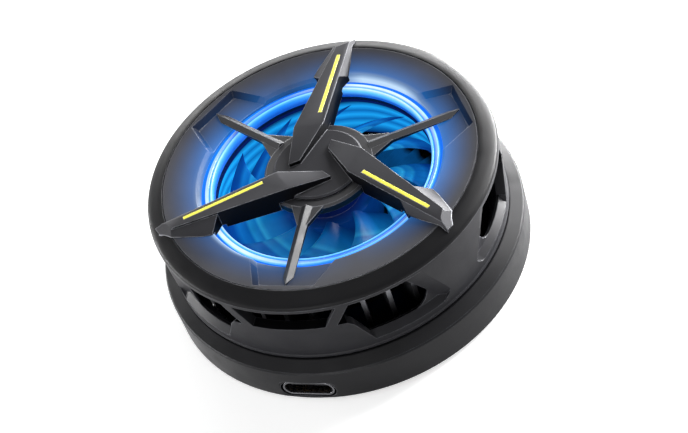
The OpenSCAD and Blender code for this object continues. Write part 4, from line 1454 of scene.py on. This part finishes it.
@dataclass(frozen=True)
class Softbox:
    """A soft studio lamp that faces the cooler.

    Angles are in degrees, round the axis from the camera and above the floor. Lengths are in
    metres, and the power is in watts.
    """

    name: str
    around: float
    above: float
    distance: float
    wide: float
    high: float
    power: float
    aim: float = 0.012

    def build(self) -> None:
        """Places the lamp."""
        turn_by = math.radians(CAMERA_TURN + self.around - 90)
        lift = math.radians(self.above)
        level = math.cos(lift)
        way = Vector((math.cos(turn_by) * level, math.sin(turn_by) * level, math.sin(lift)))
        spot = way * self.distance
        lamp = bpy.data.lights.new(self.name, "AREA")
        lamp.shape = "RECTANGLE"
        lamp.size, lamp.size_y = self.wide, self.high
        lamp.energy = self.power
        holder = bpy.data.objects.new(self.name, lamp)
        bpy.context.scene.collection.objects.link(holder)
        holder.location = spot + Vector((0, 0, self.aim))
        holder.rotation_euler = (-spot).to_track_quat("-Z", "Y").to_euler()
        holder.visible_camera = False


@dataclass
class Studio:
    """Pale floor, white surround and soft lamps.

    Half the width of the floor is in metres, and its drop below the cooler in millimetres.
    """

    ambient: float = 0.16
    lift: float = 0.55
    floor_half: float = 3.0
    floor_drop: float = 0.02
    floor_dark: Colour = (0.84, 0.84, 0.84)
    floor_pale: Colour = (0.88, 0.88, 0.88)

    @staticmethod
    def seen(nodes: bpy.types.Nodes, links: bpy.types.NodeLinks) -> bpy.types.NodeSocket:
        """Tells what is seen by the camera, in gloss or through glass from what only lights.

        Args:
            nodes: Nodes of the shader.
            links: Links of the shader.

        Returns:
            1 where the surface is seen and 0 where it only lights.
        """
        path = nodes.new("ShaderNodeLightPath")
        seen = path.outputs["Is Camera Ray"]
        for name in ("Is Glossy Ray", "Is Transmission Ray"):
            either = nodes.new("ShaderNodeMath")
            either.operation = "MAXIMUM"
            links.new(seen, either.inputs[0])
            links.new(path.outputs[name], either.inputs[1])
            seen = either.outputs["Value"]
        return seen

    def surround(self) -> None:
        """Makes a surround that looks white and lights softly."""
        world = bpy.data.worlds.new("surround")
        bpy.context.scene.world = world
        world.use_nodes = True
        nodes, links = world.node_tree.nodes, world.node_tree.links
        nodes.clear()
        output = nodes.new("ShaderNodeOutputWorld")
        plain = nodes.new("ShaderNodeBackground")
        plain.inputs["Color"].default_value = (1, 1, 1, 1)
        level = nodes.new("ShaderNodeMapRange")
        level.inputs["To Min"].default_value = self.ambient
        level.inputs["To Max"].default_value = 1.0
        links.new(self.seen(nodes, links), level.inputs["Value"])
        links.new(level.outputs["Result"], plain.inputs["Strength"])
        links.new(plain.outputs["Background"], output.inputs["Surface"])

    def floor(self) -> None:
        """Lays a pale floor that looks near white and keeps the shadow."""
        mesh = bpy.data.meshes.new("floor")
        half, low = self.floor_half, -self.floor_drop * MM
        corners = [(-half, -half, low), (half, -half, low), (half, half, low), (-half, half, low)]
        mesh.from_pydata(corners, [], [(0, 1, 2, 3)])
        floor = bpy.data.objects.new("floor", mesh)
        bpy.context.scene.collection.objects.link(floor)
        board = Board("floor_paint")
        grain = board.noise(40, 3)
        board.put(
            Base_Color=board.ramp(grain, [(0.3, self.floor_dark), (0.7, self.floor_pale)]),
            Roughness=0.9,
            Specular_IOR_Level=0.1,
            Emission_Color=(1.0, 1.0, 1.0),
            Emission_Strength=board.math("MULTIPLY", self.seen(board.nodes, board.links), self.lift),
        )
        mesh.materials.append(board.material)

    def build(self) -> None:
        """Builds the studio."""
        bpy.context.scene.view_settings.view_transform = "Standard"
        self.surround()
        self.floor()
        lamps = [
            Softbox("key", 110, 30, 0.6, 0.2, 0.36, 5.5),
            Softbox("overhead", -60, 78, 0.9, 0.6, 0.6, 1.2),
            Softbox("right_side", 125, 2, 0.5, 0.5, 0.05, 20.0),
            Softbox("back_edge", 175, 10, 0.8, 0.7, 0.16, 5.0),
            Softbox("front_fill", -30, 10, 0.6, 0.4, 0.3, 2.0),
            Softbox("left_side", -112, 2, 0.5, 0.5, 0.05, 4.0),
        ]
        for lamp in lamps:
            lamp.build()


def main() -> None:
    """Builds the cooler and its studio."""
    logging.basicConfig(level=logging.INFO, format="%(name)s: %(message)s")
    Viewpoint().build()
    assemblies = (OuterCase(), Guard(), LightSet(), Fan(), Motor(), CoolingStack(), SeatAndSupply())
    for assembly in (*assemblies, Studio()):
        assembly.build()
        log.info("built %s", type(assembly).__name__)
    bpy.context.view_layer.update()


if __name__ == "__main__":
    main()
